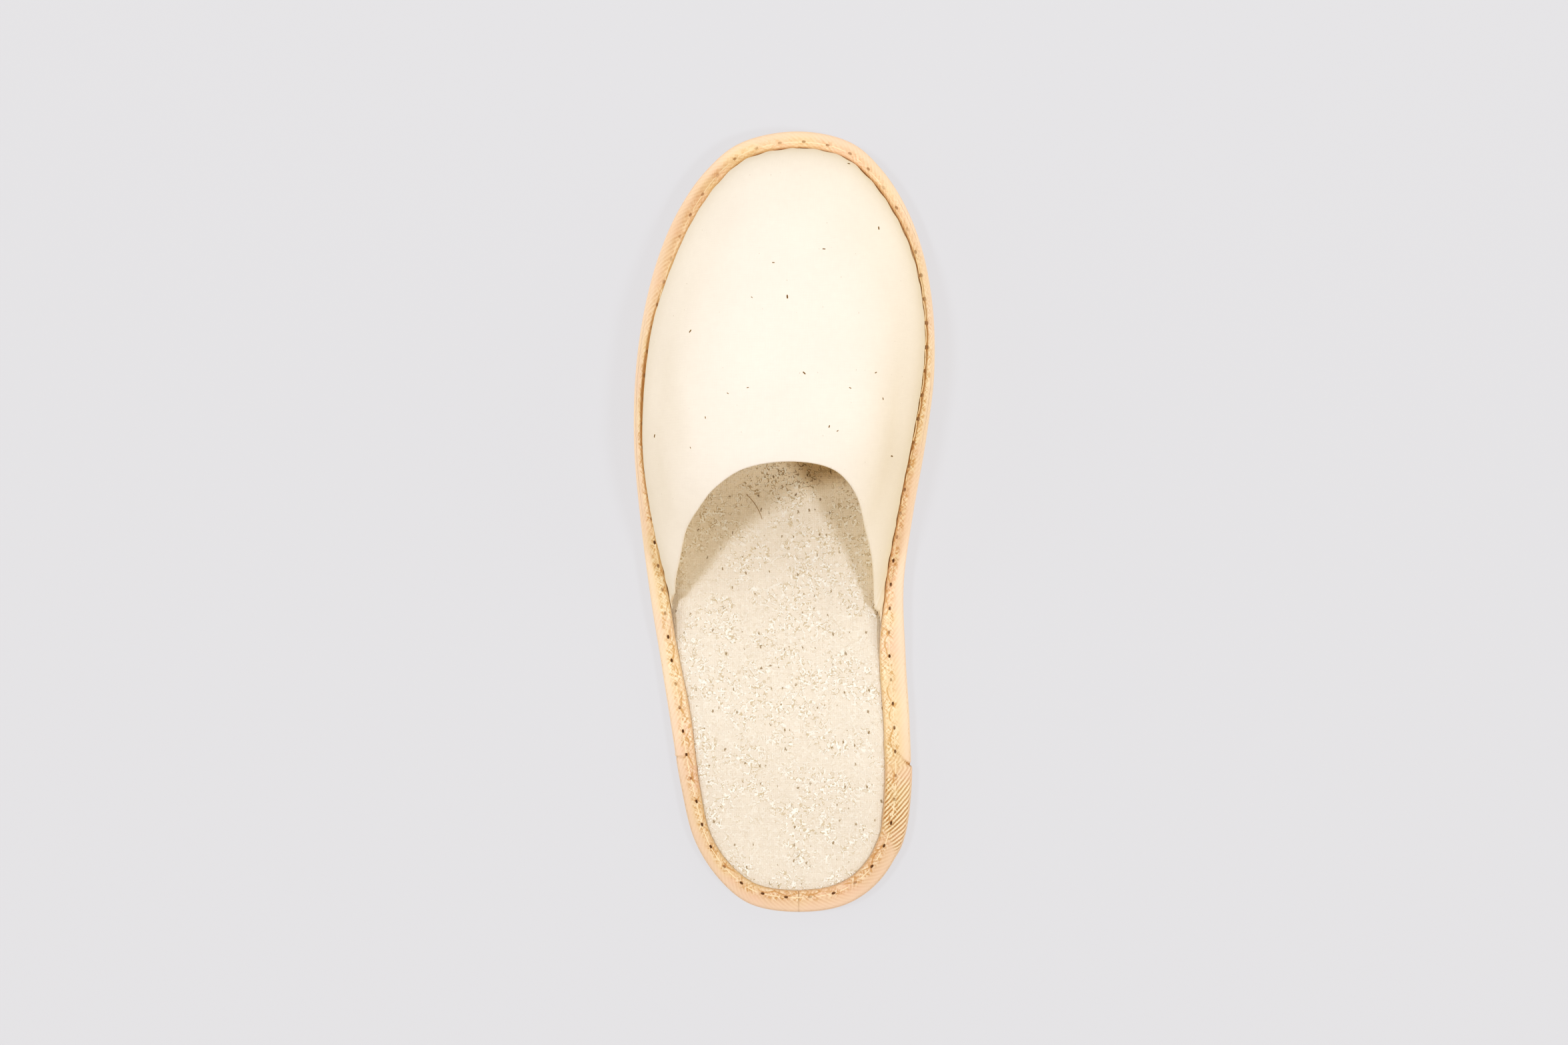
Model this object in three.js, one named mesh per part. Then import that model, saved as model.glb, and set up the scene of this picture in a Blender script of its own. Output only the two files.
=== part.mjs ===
// A closed-toe hotel slipper for the left foot, standing empty on its sole.
// Millimetres. +Y points to the toe, +X to the inner side of the foot and +Z up. The floor is z = 0,
// and the origin lies on it, under the middle of the sole.
//
// The makers' pieces, from the floor up: a foam outsole, a linen-faced foam insole, a canvas upper
// whose margin lies on the insole, and one tape folded round the edge of all three.

import * as THREE from "three";
import { mergeVertices } from "three/addons/utils/BufferGeometryUtils.js";

// Sole
const soleLength = 285;
const soleWidth = 110;
const outsoleThickness = 3.5;
const insoleThickness = 3;
const insoleEdgeThickness = 1; // where the seam squeezes the foam
const puffWidth = 7; // over which the insole swells to its full thickness
const edgeLift = 4; // how far the seam pulls the toe's edge off the floor
const liftReach = 22; // how far in from the edge the sole still bends

// Upper
const upperWall = 1.2; // canvas and lining
const throatHeight = 47; // of the vamp's crest at the throat, above its seam
const sideBulge = 1.6; // how far the vamp swells out over its seam
const bulgeHeight = 24; // of that swell
const cornerStub = 1.2; // how far the collar's ends stand in from the seam

// Edge tape
const tapeThickness = 0.7;
const tapeWidth = 9; // on top of the edge
const tapeUnderWidth = 8.5; // under the sole
const tapeClearance = 0.2; // between the tape and the floor
const edgeRound = 0.8; // inside radius of the tape's two bends
const riseBend = 1.5; // how late across its width the tape turns up

const gap = 0.3; // between neighbouring pieces

// The sole's outline from heel to toe: at is a share of the length, lateral and medial are shares of the width
const tipAcross = 0.046;
const outlineTable = [
  { at: 0.01, lateral: 0.115, medial: 0.205 },
  { at: 0.04, lateral: 0.214, medial: 0.315 },
  { at: 0.09, lateral: 0.298, medial: 0.39 },
  { at: 0.16, lateral: 0.345, medial: 0.418 },
  { at: 0.24, lateral: 0.379, medial: 0.416 },
  { at: 0.33, lateral: 0.416, medial: 0.402 },
  { at: 0.42, lateral: 0.451, medial: 0.396 },
  { at: 0.51, lateral: 0.48, medial: 0.427 },
  { at: 0.6, lateral: 0.4988, medial: 0.468 },
  { at: 0.69, lateral: 0.494, medial: 0.4973 },
  { at: 0.77, lateral: 0.466, medial: 0.494 },
  { at: 0.84, lateral: 0.418, medial: 0.464 },
  { at: 0.9, lateral: 0.35, medial: 0.408 },
  { at: 0.95, lateral: 0.259, medial: 0.326 },
  { at: 0.985, lateral: 0.147, medial: 0.224 },
];

// The tape seen from above and the rise to its inner edge, as shares of its width, and the sole's lift
const edgeTable = [
  { at: 0, lateral: 0.93, medial: 0.95, lateralRise: 0, medialRise: 0, lift: 0.25 },
  { at: 0.06, lateral: 0.92, medial: 1.08, lateralRise: 0, medialRise: 0, lift: 0.2 },
  { at: 0.14, lateral: 0.88, medial: 1.17, lateralRise: 0, medialRise: 0, lift: 0.12 },
  { at: 0.25, lateral: 0.91, medial: 1.13, lateralRise: 0.02, medialRise: 0, lift: 0.08 },
  { at: 0.34, lateral: 0.88, medial: 1.08, lateralRise: 0.06, medialRise: 0.03, lift: 0.1 },
  { at: 0.4, lateral: 0.78, medial: 0.94, lateralRise: 0.14, medialRise: 0.08, lift: 0.18 },
  { at: 0.48, lateral: 0.6, medial: 0.77, lateralRise: 0.28, medialRise: 0.18, lift: 0.3 },
  { at: 0.57, lateral: 0.49, medial: 0.71, lateralRise: 0.4, medialRise: 0.26, lift: 0.38 },
  { at: 0.66, lateral: 0.5, medial: 0.6, lateralRise: 0.42, medialRise: 0.36, lift: 0.42 },
  { at: 0.75, lateral: 0.56, medial: 0.48, lateralRise: 0.36, medialRise: 0.42, lift: 0.5 },
  { at: 0.84, lateral: 0.74, medial: 0.52, lateralRise: 0.26, medialRise: 0.36, lift: 0.66 },
  { at: 0.92, lateral: 0.8, medial: 0.66, lateralRise: 0.18, medialRise: 0.24, lift: 0.85 },
  { at: 1, lateral: 0.73, medial: 0.73, lateralRise: 0.14, medialRise: 0.14, lift: 1 },
];

// The height of the vamp's crest along the foot, as a share of throatHeight
const crestTable = [
  { at: 0.34, height: 0.05 },
  { at: 0.4, height: 0.3 },
  { at: 0.46, height: 0.64 },
  { at: 0.52, height: 0.9 },
  { at: 0.58, height: 1 },
  { at: 0.66, height: 0.95 },
  { at: 0.78, height: 0.86 },
  { at: 0.9, height: 0.78 },
  { at: 1, height: 0.72 },
];
const poleAt = 0.66; // the toe's dome fans out from here, at the ball
const flankPower = 2; // how flat the vamp is over the crest
const wallPower = 2; // how steeply it leaves its seam

// The collar seen from above, from its lateral end to its medial end
const cornerAt = { lateral: 0.388, medial: 0.373 };
const collarTable = [
  { across: -0.347, at: 0.407 },
  { across: -0.321, at: 0.475 },
  { across: -0.2435, at: 0.527 },
  { across: -0.1055, at: 0.569 },
  { across: 0.055, at: 0.578 },
  { across: 0.1865, at: 0.567 },
  { across: 0.2535, at: 0.538 },
  { across: 0.2865, at: 0.486 },
  { across: 0.2945, at: 0.425 },
];

// How finely the pieces are divided
const heelSteps = 18; // along one side, from the heel's tip to the collar's end
const vampSteps = 30; // along one side, from the collar's end to the toe's tip
const rampSteps = 3; // over which the tape steps down behind the collar's ends
const marginShares = [0, 0.5, 1]; // from the edge of the seam to the tape's inner edge
const domeRows = 12; // from the seam up to the collar
const rowPower = 1.8; // crowds those rows towards the seam
const fineSteps = 400;

// Levels of the stack at its edge, and where its pieces end
const outsoleEdgeBottom = tapeClearance + tapeThickness + gap;
const insoleBottom = outsoleThickness + gap;
const insoleEdgeTop = insoleBottom + insoleEdgeThickness;
const insoleTop = insoleBottom + insoleThickness;
const stackInset = tapeThickness + edgeRound;
const outsoleStep = tapeUnderWidth + gap;
const wallInset = gap; // between the tape's inner edge and the vamp

const railSteps = 2 * (heelSteps + vampSteps);
const toeIndex = railSteps / 2;
const lateralCorner = heelSteps;
const medialCorner = railSteps - heelSteps;

const alongOf = (at) => (at - 0.5) * soleLength;
const atOf = (y) => y / soleLength + 0.5;
const clamp = THREE.MathUtils.clamp;
const lerp = THREE.MathUtils.lerp;
const smooth = (t) => THREE.MathUtils.smoothstep(t, 0, 1);

// A column of a table at any share of the length, by cubic pieces through its rows
function readTable(table, column, at) {
  const last = table.length - 1;
  const place = clamp(at, table[0].at, table[last].at);
  let k = 0;
  while (k < last - 1 && table[k + 1].at < place) k += 1;
  const slopeAt = (n) => {
    const before = table[Math.max(n - 1, 0)];
    const after = table[Math.min(n + 1, last)];
    return (after[column] - before[column]) / (after.at - before.at);
  };
  const span = table[k + 1].at - table[k].at;
  const t = (place - table[k].at) / span;
  const start = table[k][column];
  const end = table[k + 1][column];
  const bend = t * (1 - t) * span;
  return (
    lerp(start, end, t * t * (3 - 2 * t)) +
    bend * ((1 - t) * slopeAt(k) - t * slopeAt(k + 1))
  );
}

// The outline as one closed curve: heel tip, lateral side, toe tip, medial side
function outlineCurve() {
  const pointAt = (across, at) =>
    new THREE.Vector3(across * soleWidth, alongOf(at), 0);
  return new THREE.CatmullRomCurve3(
    [
      pointAt(tipAcross, 0),
      ...outlineTable.map((row) => pointAt(-row.lateral, row.at)),
      pointAt(tipAcross, 1),
      ...outlineTable.toReversed().map((row) => pointAt(row.medial, row.at)),
    ],
    true,
    "centripetal",
  );
}

// One side of the outline from heel to toe, evenly divided behind and in front of the collar's end
function sidePoints(curve, side) {
  const fine = [];
  for (let k = 0; k <= fineSteps; k += 1) {
    const t = (0.5 * k) / fineSteps;
    fine.push(curve.getPoint(side === "lateral" ? t : 1 - t));
  }
  const cut = fine.findIndex((p) => atOf(p.y) >= cornerAt[side]);
  const divide = (points, steps) =>
    new THREE.CatmullRomCurve3(points).getSpacedPoints(steps);
  return [
    ...divide(fine.slice(0, cut + 1), heelSteps),
    ...divide(fine.slice(cut), vampSteps).slice(1),
  ];
}

// The rail: stations round the outline, clockwise from above, with all that the pieces read there
function makeRail() {
  const curve = outlineCurve();
  const lateral = sidePoints(curve, "lateral");
  const medial = sidePoints(curve, "medial").toReversed().slice(1, -1);
  const points = [...lateral, ...medial];
  return points.map((point, k) => {
    const before = points[(k + railSteps - 1) % railSteps];
    const after = points[(k + 1) % railSteps];
    const tangent = after.clone().sub(before).normalize();
    const side = k <= toeIndex ? "lateral" : "medial";
    const at = atOf(point.y);
    const behind = Math.max(lateralCorner - k, k - medialCorner, 0);
    const vamp = smooth(clamp(1 - behind / rampSteps, 0, 1));
    return {
      point,
      inward: new THREE.Vector3(tangent.y, -tangent.x, 0),
      vamp, // 1 where the upper's margin lies in the seam, 0 behind it
      cover: tapeWidth * readTable(edgeTable, side, at),
      rise: vamp * tapeWidth * readTable(edgeTable, `${side}Rise`, at),
      lift: edgeLift * readTable(edgeTable, "lift", at),
    };
  });
}

const rail = makeRail();

// A point at a distance in from the outline and a height above the flat sole, lifted with the sole's edge
function place(station, distance, height) {
  const bend = 1 - smooth(clamp(distance / liftReach, 0, 1));
  return station.point
    .clone()
    .addScaledVector(station.inward, distance)
    .setZ(height + station.lift * bend);
}

// The top of what the tape is folded over: the insole's edge, or the upper's margin on it
function stackTop(station, distance) {
  const share = clamp(distance / station.cover, 0, 1);
  const margin = station.vamp * (gap + upperWall);
  return insoleEdgeTop + margin + station.rise * share ** riseBend;
}

// A point a gap's width off that top, square to it
function offStack(station, distance) {
  const height = stackTop(station, distance);
  const slope = (height - stackTop(station, distance - gap)) / gap;
  const square = gap / Math.hypot(1, slope);
  return [distance - slope * square, height + square];
}

// A solid from a list of corners and triangles, with doubled corners merged and slivers dropped
function meshOf(name, corners, triangles, look) {
  const flat = new THREE.BufferGeometry();
  flat.setAttribute(
    "position",
    new THREE.Float32BufferAttribute(
      corners.flatMap((p) => p.toArray()),
      3,
    ),
  );
  flat.setIndex(triangles.flat());
  const geometry = mergeVertices(flat, 1e-3);
  const kept = [];
  for (let k = 0; k < geometry.index.count; k += 3) {
    const [a, b, c] = geometry.index.array.slice(k, k + 3);
    if (a !== b && b !== c && c !== a) kept.push(a, b, c);
  }
  geometry.setIndex(kept);
  geometry.computeVertexNormals();
  const mesh = new THREE.Mesh(geometry, new THREE.MeshStandardMaterial(look));
  mesh.name = name;
  return mesh;
}

// Lofts rings that follow the rail, each a list of [distance, height] rules, and closes both ends flat
function ringSolid(name, rules, look) {
  const corners = rules.flatMap((rule) =>
    rail.map((station) => place(station, ...rule(station))),
  );
  const triangles = [];
  for (let ring = 0; ring + 1 < rules.length; ring += 1) {
    for (let k = 0; k < railSteps; k += 1) {
      const next = (k + 1) % railSteps;
      const a = ring * railSteps + k;
      const b = ring * railSteps + next;
      triangles.push([a, a + railSteps, b], [b, a + railSteps, b + railSteps]);
    }
  }
  const lastRing = (rules.length - 1) * railSteps;
  for (let k = 0; k < toeIndex; k += 1) {
    const left = [k, k + 1];
    const right = [(railSteps - k) % railSteps, railSteps - k - 1];
    for (const [from, flip] of [
      [0, false],
      [lastRing, true],
    ]) {
      const [a, b, c, d] = [left[0], left[1], right[1], right[0]].map(
        (n) => n + from,
      );
      triangles.push(flip ? [a, c, b] : [a, b, c]);
      triangles.push(flip ? [a, d, c] : [a, c, d]);
    }
  }
  return meshOf(name, corners, triangles, look);
}

// Foam outsole: flat on the floor, with a step all round its underside for the tape
function outsole() {
  const bends = [outsoleStep + 0.35 * (liftReach - outsoleStep), liftReach];
  const top = outsoleThickness;
  const rules = [
    () => [bends[1], 0],
    () => [bends[0], 0],
    () => [outsoleStep + gap, 0],
    () => [outsoleStep, outsoleEdgeBottom],
    () => [stackInset, outsoleEdgeBottom],
    () => [stackInset, top],
    () => [outsoleStep, top],
    () => [bends[0], top],
    () => [bends[1], top],
  ];
  return ringSolid("outsole", rules, {
    color: 0xe9e6de,
    roughness: 0.85,
    metalness: 0,
  });
}

// Linen-faced foam insole, squeezed thin under the tape
function insole() {
  const bends = [outsoleStep + 0.35 * (liftReach - outsoleStep), liftReach];
  // Behind the collar it swells at the tape's edge, and under the vamp inside the upper's wall
  const puffStart = (s) => s.cover + gap + s.vamp * (wallInset + upperWall);
  const swell = insoleTop - insoleEdgeTop;
  const rules = [
    () => [bends[1], insoleBottom],
    () => [bends[0], insoleBottom],
    () => [outsoleStep, insoleBottom],
    () => [stackInset, insoleBottom],
    () => [stackInset, insoleEdgeTop],
    (s) => [puffStart(s), insoleEdgeTop],
    (s) => [puffStart(s) + 0.35 * puffWidth, insoleEdgeTop + 0.7 * swell],
    (s) => [puffStart(s) + puffWidth, insoleTop],
    () => [bends[1], insoleTop],
  ];
  return ringSolid("insole", rules, {
    color: 0xf0e6d4,
    roughness: 0.95,
    metalness: 0,
  });
}

// The tape's inside face in section, as [distance, height] from its end under the sole to its end on top
function tapeInside(station) {
  const low = outsoleEdgeBottom - gap;
  const high = stackTop(station, stackInset) + gap;
  const bend = edgeRound * (1 - Math.SQRT1_2);
  const side = tapeThickness;
  return [
    [tapeUnderWidth, low],
    [side + edgeRound, low],
    [side + bend, low + bend],
    [side, low + edgeRound],
    [side, high - edgeRound],
    [side + bend, high - bend],
    [side + edgeRound, high],
    ...marginShares
      .slice(1)
      .map((share) => offStack(station, lerp(stackInset, station.cover, share))),
  ];
}

// The same path, moved square to itself by a distance, away from what it wraps
function offsetPath(path, distance) {
  const legs = path.slice(1).map(([x, y], k) => {
    const [dx, dy] = [x - path[k][0], y - path[k][1]];
    const size = Math.hypot(dx, dy);
    return [-dy / size, dx / size];
  });
  return path.map(([x, y], k) => {
    const a = legs[Math.max(k - 1, 0)];
    const b = legs[Math.min(k, legs.length - 1)];
    const scale = distance / (1 + a[0] * b[0] + a[1] * b[1]);
    return [x + (a[0] + b[0]) * scale, y + (a[1] + b[1]) * scale];
  });
}

// Twill tape folded round the whole edge, a closed loop of one C-shaped section
function edgeTape() {
  const sections = rail.map((station) => {
    const inside = tapeInside(station);
    const outline = [
      ...offsetPath(inside, tapeThickness),
      ...inside.toReversed(),
    ];
    return outline.map(([distance, height]) =>
      place(station, distance, height),
    );
  });
  const count = sections[0].length;
  const triangles = [];
  for (let k = 0; k < railSteps; k += 1) {
    const next = (k + 1) % railSteps;
    for (let n = 0; n < count; n += 1) {
      const m = (n + 1) % count;
      const a = k * count + n;
      const b = k * count + m;
      const c = next * count + n;
      const d = next * count + m;
      triangles.push([a, b, c], [b, d, c]);
    }
  }
  return meshOf("edge_tape", sections.flat(), triangles, {
    color: 0xf2cda4,
    roughness: 0.8,
    metalness: 0,
  });
}

// Where the vamp's wall leaves its seam, round the whole rail
const seam = rail.map((station) => {
  const distance = station.cover + wallInset;
  return place(
    station,
    distance,
    stackTop(station, distance),
  );
});

// The seam's x on one side at a distance along the foot
function seamAcross(side, y) {
  const step = side === "lateral" ? 1 : railSteps - 1;
  let k = 0;
  let next = step;
  while (next !== toeIndex && seam[next].y < y) {
    k = next;
    next = (next + step) % railSteps;
  }
  const t = clamp((y - seam[k].y) / (seam[next].y - seam[k].y), 0, 1);
  return lerp(seam[k].x, seam[next].x, t);
}

const poleY = alongOf(poleAt);
const pole = new THREE.Vector2(
  (seamAcross("lateral", poleY) + seamAcross("medial", poleY)) / 2,
  poleY,
);

// How far the ray from the pole through a point runs before it meets the toe's seam
function reachFromPole(x, y) {
  const ray = new THREE.Vector2(x, y).sub(pole).normalize();
  const cross = (p) => ray.x * (p.y - pole.y) - ray.y * (p.x - pole.x);
  for (let k = lateralCorner; k < medialCorner; k += 1) {
    const [from, to] = [cross(seam[k]), cross(seam[k + 1])];
    if (from * to > 0 || from === to) continue;
    const t = from / (from - to);
    const hit = new THREE.Vector2(
      lerp(seam[k].x, seam[k + 1].x, t),
      lerp(seam[k].y, seam[k + 1].y, t),
    ).sub(pole);
    if (hit.dot(ray) > 0) return hit.length();
  }
  throw new Error("the toe's seam doesn't close round the pole");
}

// How far a plan point lies from the seam towards the crest: 0 on the seam, 1 on the crest
function crestShare(x, y) {
  if (y > pole.y) {
    const distance = Math.hypot(x - pole.x, y - pole.y);
    return clamp(1 - distance / reachFromPole(x, y), 0, 1);
  }
  const left = seamAcross("lateral", y);
  const right = seamAcross("medial", y);
  const middle = (left + right) / 2;
  return clamp(1 - Math.abs(x - middle) / (right - middle), 0, 1);
}

// The collar as a curve in plan, between stubs that stand in from the seam at its two ends
function collarCurve() {
  const stub = (k) =>
    seam[k].clone().addScaledVector(rail[k].inward, cornerStub).setZ(0);
  return new THREE.CatmullRomCurve3(
    [
      stub(lateralCorner),
      ...collarTable.map(
        (row) => new THREE.Vector3(row.across * soleWidth, alongOf(row.at), 0),
      ),
      stub(medialCorner),
    ],
    false,
    "centripetal",
  );
}

// A point of the vamp's outer face over a plan point, in the column that rises from one station
function vampPoint(plan, k) {
  const share = crestShare(plan.x, plan.y);
  const crest = throatHeight * readTable(crestTable, "height", atOf(plan.y));
  const arch = (1 - (1 - share) ** flankPower) ** (1 / wallPower);
  const base = lerp(seam[k].z, stackTop(rail[toeIndex], 0), smooth(share));
  const rise = crest * arch;
  const swell = Math.sin(Math.PI * clamp(rise / bulgeHeight, 0, 1)) ** 2;
  return plan
    .clone()
    .addScaledVector(rail[k].inward, -sideBulge * rail[k].vamp * swell)
    .setZ(base + rise);
}

// The upper's outer face, a grid: a column for each station of the seam, and rows from margin to collar
function upperGrid() {
  const collar = collarCurve();
  const columns = medialCorner - lateralCorner;
  const grid = [];
  for (let k = lateralCorner; k <= medialCorner; k += 1) {
    const station = rail[k];
    const column = marginShares.map((share) => {
      const distance = lerp(stackInset, station.cover, share);
      return place(station, distance, stackTop(station, distance));
    });
    const foot = seam[k].clone().setZ(0);
    const top = collar.getPointAt((k - lateralCorner) / columns);
    column.push(seam[k].clone());
    for (let row = 1; row <= domeRows; row += 1) {
      const share = (row / domeRows) ** rowPower;
      column.push(vampPoint(foot.clone().lerp(top, share), k));
    }
    grid.push(column);
  }
  return grid;
}

// The same grid moved square to its face by a wall's thickness, to its inner side
function innerGrid(grid, wall) {
  const lastColumn = grid.length - 1;
  const lastRow = grid[0].length - 1;
  return grid.map((column, k) =>
    column.map((point, row) => {
      const along = grid[Math.min(k + 1, lastColumn)][row]
        .clone()
        .sub(grid[Math.max(k - 1, 0)][row]);
      const legs = [
        [row - 1, row],
        [row, row + 1],
      ]
        .filter(([from, to]) => from >= 0 && to <= lastRow)
        .map(([from, to]) =>
          along.clone().cross(column[to].clone().sub(column[from])).normalize(),
        );
      const facing = legs
        .reduce((sum, leg) => sum.add(leg), new THREE.Vector3())
        .normalize();
      return point
        .clone()
        .addScaledVector(facing, wall / Math.max(facing.dot(legs[0]), 0.5));
    }),
  );
}

// Canvas upper: one hollow shell, open below inside its margin and at the collar
function upper() {
  const outer = upperGrid();
  const inner = innerGrid(outer, upperWall);
  const rows = outer[0].length;
  const columns = outer.length;
  const innerStart = columns * rows;
  const triangles = [];
  for (let k = 0; k + 1 < columns; k += 1) {
    for (let row = 0; row + 1 < rows; row += 1) {
      const a = k * rows + row;
      const [b, c, d] = [a + 1, a + rows, a + rows + 1];
      triangles.push([a, b, c], [b, d, c]);
      const [e, f, g, h] = [a, b, c, d].map((n) => n + innerStart);
      triangles.push([e, g, f], [f, g, h]);
    }
  }
  const closeEdge = (a, b) => {
    triangles.push([a, b, a + innerStart], [b, b + innerStart, a + innerStart]);
  };
  for (let k = 0; k + 1 < columns; k += 1) {
    closeEdge(k * rows, (k + 1) * rows);
    closeEdge((k + 1) * rows + rows - 1, k * rows + rows - 1);
  }
  for (let row = 0; row + 1 < rows; row += 1) {
    closeEdge(row + 1, row);
    closeEdge((columns - 1) * rows + row, (columns - 1) * rows + row + 1);
  }
  return meshOf("upper", [...outer.flat(), ...inner.flat()], triangles, {
    color: 0xfdf7e8,
    roughness: 0.9,
    metalness: 0,
  });
}

const slipper = new THREE.Group();
slipper.add(outsole(), insole(), upper(), edgeTape());

export default slipper;
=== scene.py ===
# A closed-toe hotel slipper for the left foot: canvas vamp, linen insole, foam sole and twill tape.
# Settings are in millimetres. +Y points to the toe and +X to the foot's inner side. The floor is z = 0.

import math

import bmesh
import bpy
import numpy as np
from mathutils import Matrix, Vector, noise


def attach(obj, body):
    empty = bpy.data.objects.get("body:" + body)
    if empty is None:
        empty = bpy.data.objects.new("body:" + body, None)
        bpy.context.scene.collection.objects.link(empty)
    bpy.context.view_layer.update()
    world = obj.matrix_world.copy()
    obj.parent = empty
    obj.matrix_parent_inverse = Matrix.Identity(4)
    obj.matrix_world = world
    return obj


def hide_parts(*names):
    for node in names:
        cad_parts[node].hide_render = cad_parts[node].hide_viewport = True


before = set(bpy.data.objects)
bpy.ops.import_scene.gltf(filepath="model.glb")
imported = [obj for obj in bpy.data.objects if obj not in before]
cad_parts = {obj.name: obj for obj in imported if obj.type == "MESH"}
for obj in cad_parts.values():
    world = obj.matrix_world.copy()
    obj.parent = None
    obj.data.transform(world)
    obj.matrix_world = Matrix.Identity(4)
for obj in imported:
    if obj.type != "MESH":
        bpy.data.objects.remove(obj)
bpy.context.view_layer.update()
mm = 0.001

# The form that all the pieces share

sole = {
    "length": 285,
    "width": 110,
    "outsole": 3.5,
    "insole": 3,
    "insoleEdge": 1,
    "edgeBow": 0.2,
    "puff": 7,
    "lift": 4,
    "liftReach": 22,
    "gap": 0.3,
}
tape = {
    "thickness": 0.7,
    "width": 9,
    "under": 8.5,
    "clearance": 0.2,
    "round": 0.8,
    "riseBend": 1.5,
}
vamp = {
    "wall": 1.2,
    "throat": 47,
    "bulge": 1.6,
    "bulgeHeight": 24,
    "cornerStub": 1.2,
    "pole": 0.66,
    "flankPower": 2.0,
    "wallPower": 2.0,
    "stepLength": 17,
    "lateralCorner": 0.384,
    "medialCorner": 0.373,
}
# Heights over the flat sole, and how far in the stack's edge stands
levels = {
    "outsoleEdge": tape["clearance"] + tape["thickness"] + sole["gap"],
    "insoleBottom": sole["outsole"] + sole["gap"],
    "insoleEdge": sole["outsole"] + sole["gap"] + sole["insoleEdge"],
    "insoleTop": sole["outsole"] + sole["gap"] + sole["insole"],
    "stackInset": tape["thickness"] + tape["round"],
}

spanSteps = 60  # between two points of a spline

# Shares of the length and the width, from heel to toe
outlineTable = {
    "at": [0.01, 0.04, 0.09, 0.16, 0.24, 0.33, 0.42, 0.51, 0.6, 0.69, 0.77, 0.84, 0.9, 0.95, 0.985],
    "lateral": [0.115, 0.214, 0.298, 0.345, 0.379, 0.416, 0.451, 0.48]
    + [0.4988, 0.494, 0.466, 0.418, 0.35, 0.259, 0.147],
    "medial": [0.205, 0.315, 0.39, 0.418, 0.416, 0.402, 0.396, 0.427]
    + [0.468, 0.4973, 0.494, 0.464, 0.408, 0.326, 0.224],
    "tip": 0.046,
}
# The tape's width from above and the rise to its inner edge, as shares of its width, and the sole's lift
edgeTable = {
    "at": [0, 0.06, 0.14, 0.25, 0.34, 0.4, 0.48, 0.57, 0.66, 0.75, 0.84, 0.92, 1],
    "lateral": [0.85, 0.68, 0.7, 0.82, 0.71, 0.74, 0.6, 0.49, 0.5, 0.56, 0.72, 0.75, 0.68],
    "medial": [0.86, 0.88, 0.95, 1.01, 0.99, 0.74, 0.6, 0.56, 0.46, 0.36, 0.4, 0.55, 0.66],
    "lateralRise": [0, 0, 0, 0.02, 0.06, 0.14, 0.28, 0.4, 0.42, 0.36, 0.26, 0.18, 0.14],
    "medialRise": [0, 0, 0, 0, 0.03, 0.08, 0.18, 0.26, 0.36, 0.42, 0.36, 0.24, 0.14],
    "lift": [0.25, 0.2, 0.12, 0.08, 0.1, 0.18, 0.3, 0.38, 0.42, 0.5, 0.66, 0.85, 1],
}
# How far in the stitches stand on each side, as a share of the tape's width from above
seamTable = {
    "at": [0, 0.06, 0.11, 0.14, 0.17, 0.22, 0.29, 0.36, 0.44, 0.52, 0.76, 0.85, 0.93, 1],
    "lateral": [0.7, 0.72, 0.75, 0.72, 0.63, 0.56, 0.59, 0.66, 0.77, 0.87, 0.87, 0.78, 0.7, 0.66],
    "medial": [0.7, 0.7, 0.66, 0.63, 0.62, 0.62, 0.62, 0.66, 0.77, 0.87, 0.87, 0.78, 0.7, 0.66],
}
crestTable = {
    "at": [0.34, 0.4, 0.46, 0.52, 0.58, 0.66, 0.78, 0.9, 1],
    "height": [0.05, 0.3, 0.64, 0.9, 1, 0.95, 0.86, 0.78, 0.72],
}
collarTable = {
    "across": [-0.36, -0.335, -0.322, -0.303, -0.2525, -0.213, -0.11]
    + [0.055, 0.1865, 0.2535, 0.2865, 0.2945],
    "at": [0.407, 0.442, 0.479, 0.4974, 0.5242, 0.5421, 0.5685]
    + [0.578, 0.567, 0.538, 0.486, 0.425],
}


def alongOf(at):
    return (np.asarray(at, float) - 0.5) * sole["length"]


def atOf(y):
    return y / sole["length"] + 0.5


def smooth(t):
    t = np.clip(t, 0, 1)
    return t * t * (3 - 2 * t)


def hump(distance, width):
    return np.exp(-((distance / width) ** 2))


def readColumn(table, name, at):
    places = np.asarray(table["at"], float)
    values = np.asarray(table[name], float)
    slopes = np.empty_like(values)
    slopes[1:-1] = (values[2:] - values[:-2]) / (places[2:] - places[:-2])
    slopes[0] = (values[1] - values[0]) / (places[1] - places[0])
    slopes[-1] = (values[-1] - values[-2]) / (places[-1] - places[-2])
    place = np.clip(at, places[0], places[-1])
    k = np.clip(np.searchsorted(places, place) - 1, 0, len(places) - 2)
    span = places[k + 1] - places[k]
    t = (place - places[k]) / span
    ends = values[k] + (values[k + 1] - values[k]) * t * t * (3 - 2 * t)
    return ends + t * (1 - t) * span * ((1 - t) * slopes[k] - t * slopes[k + 1])


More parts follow.
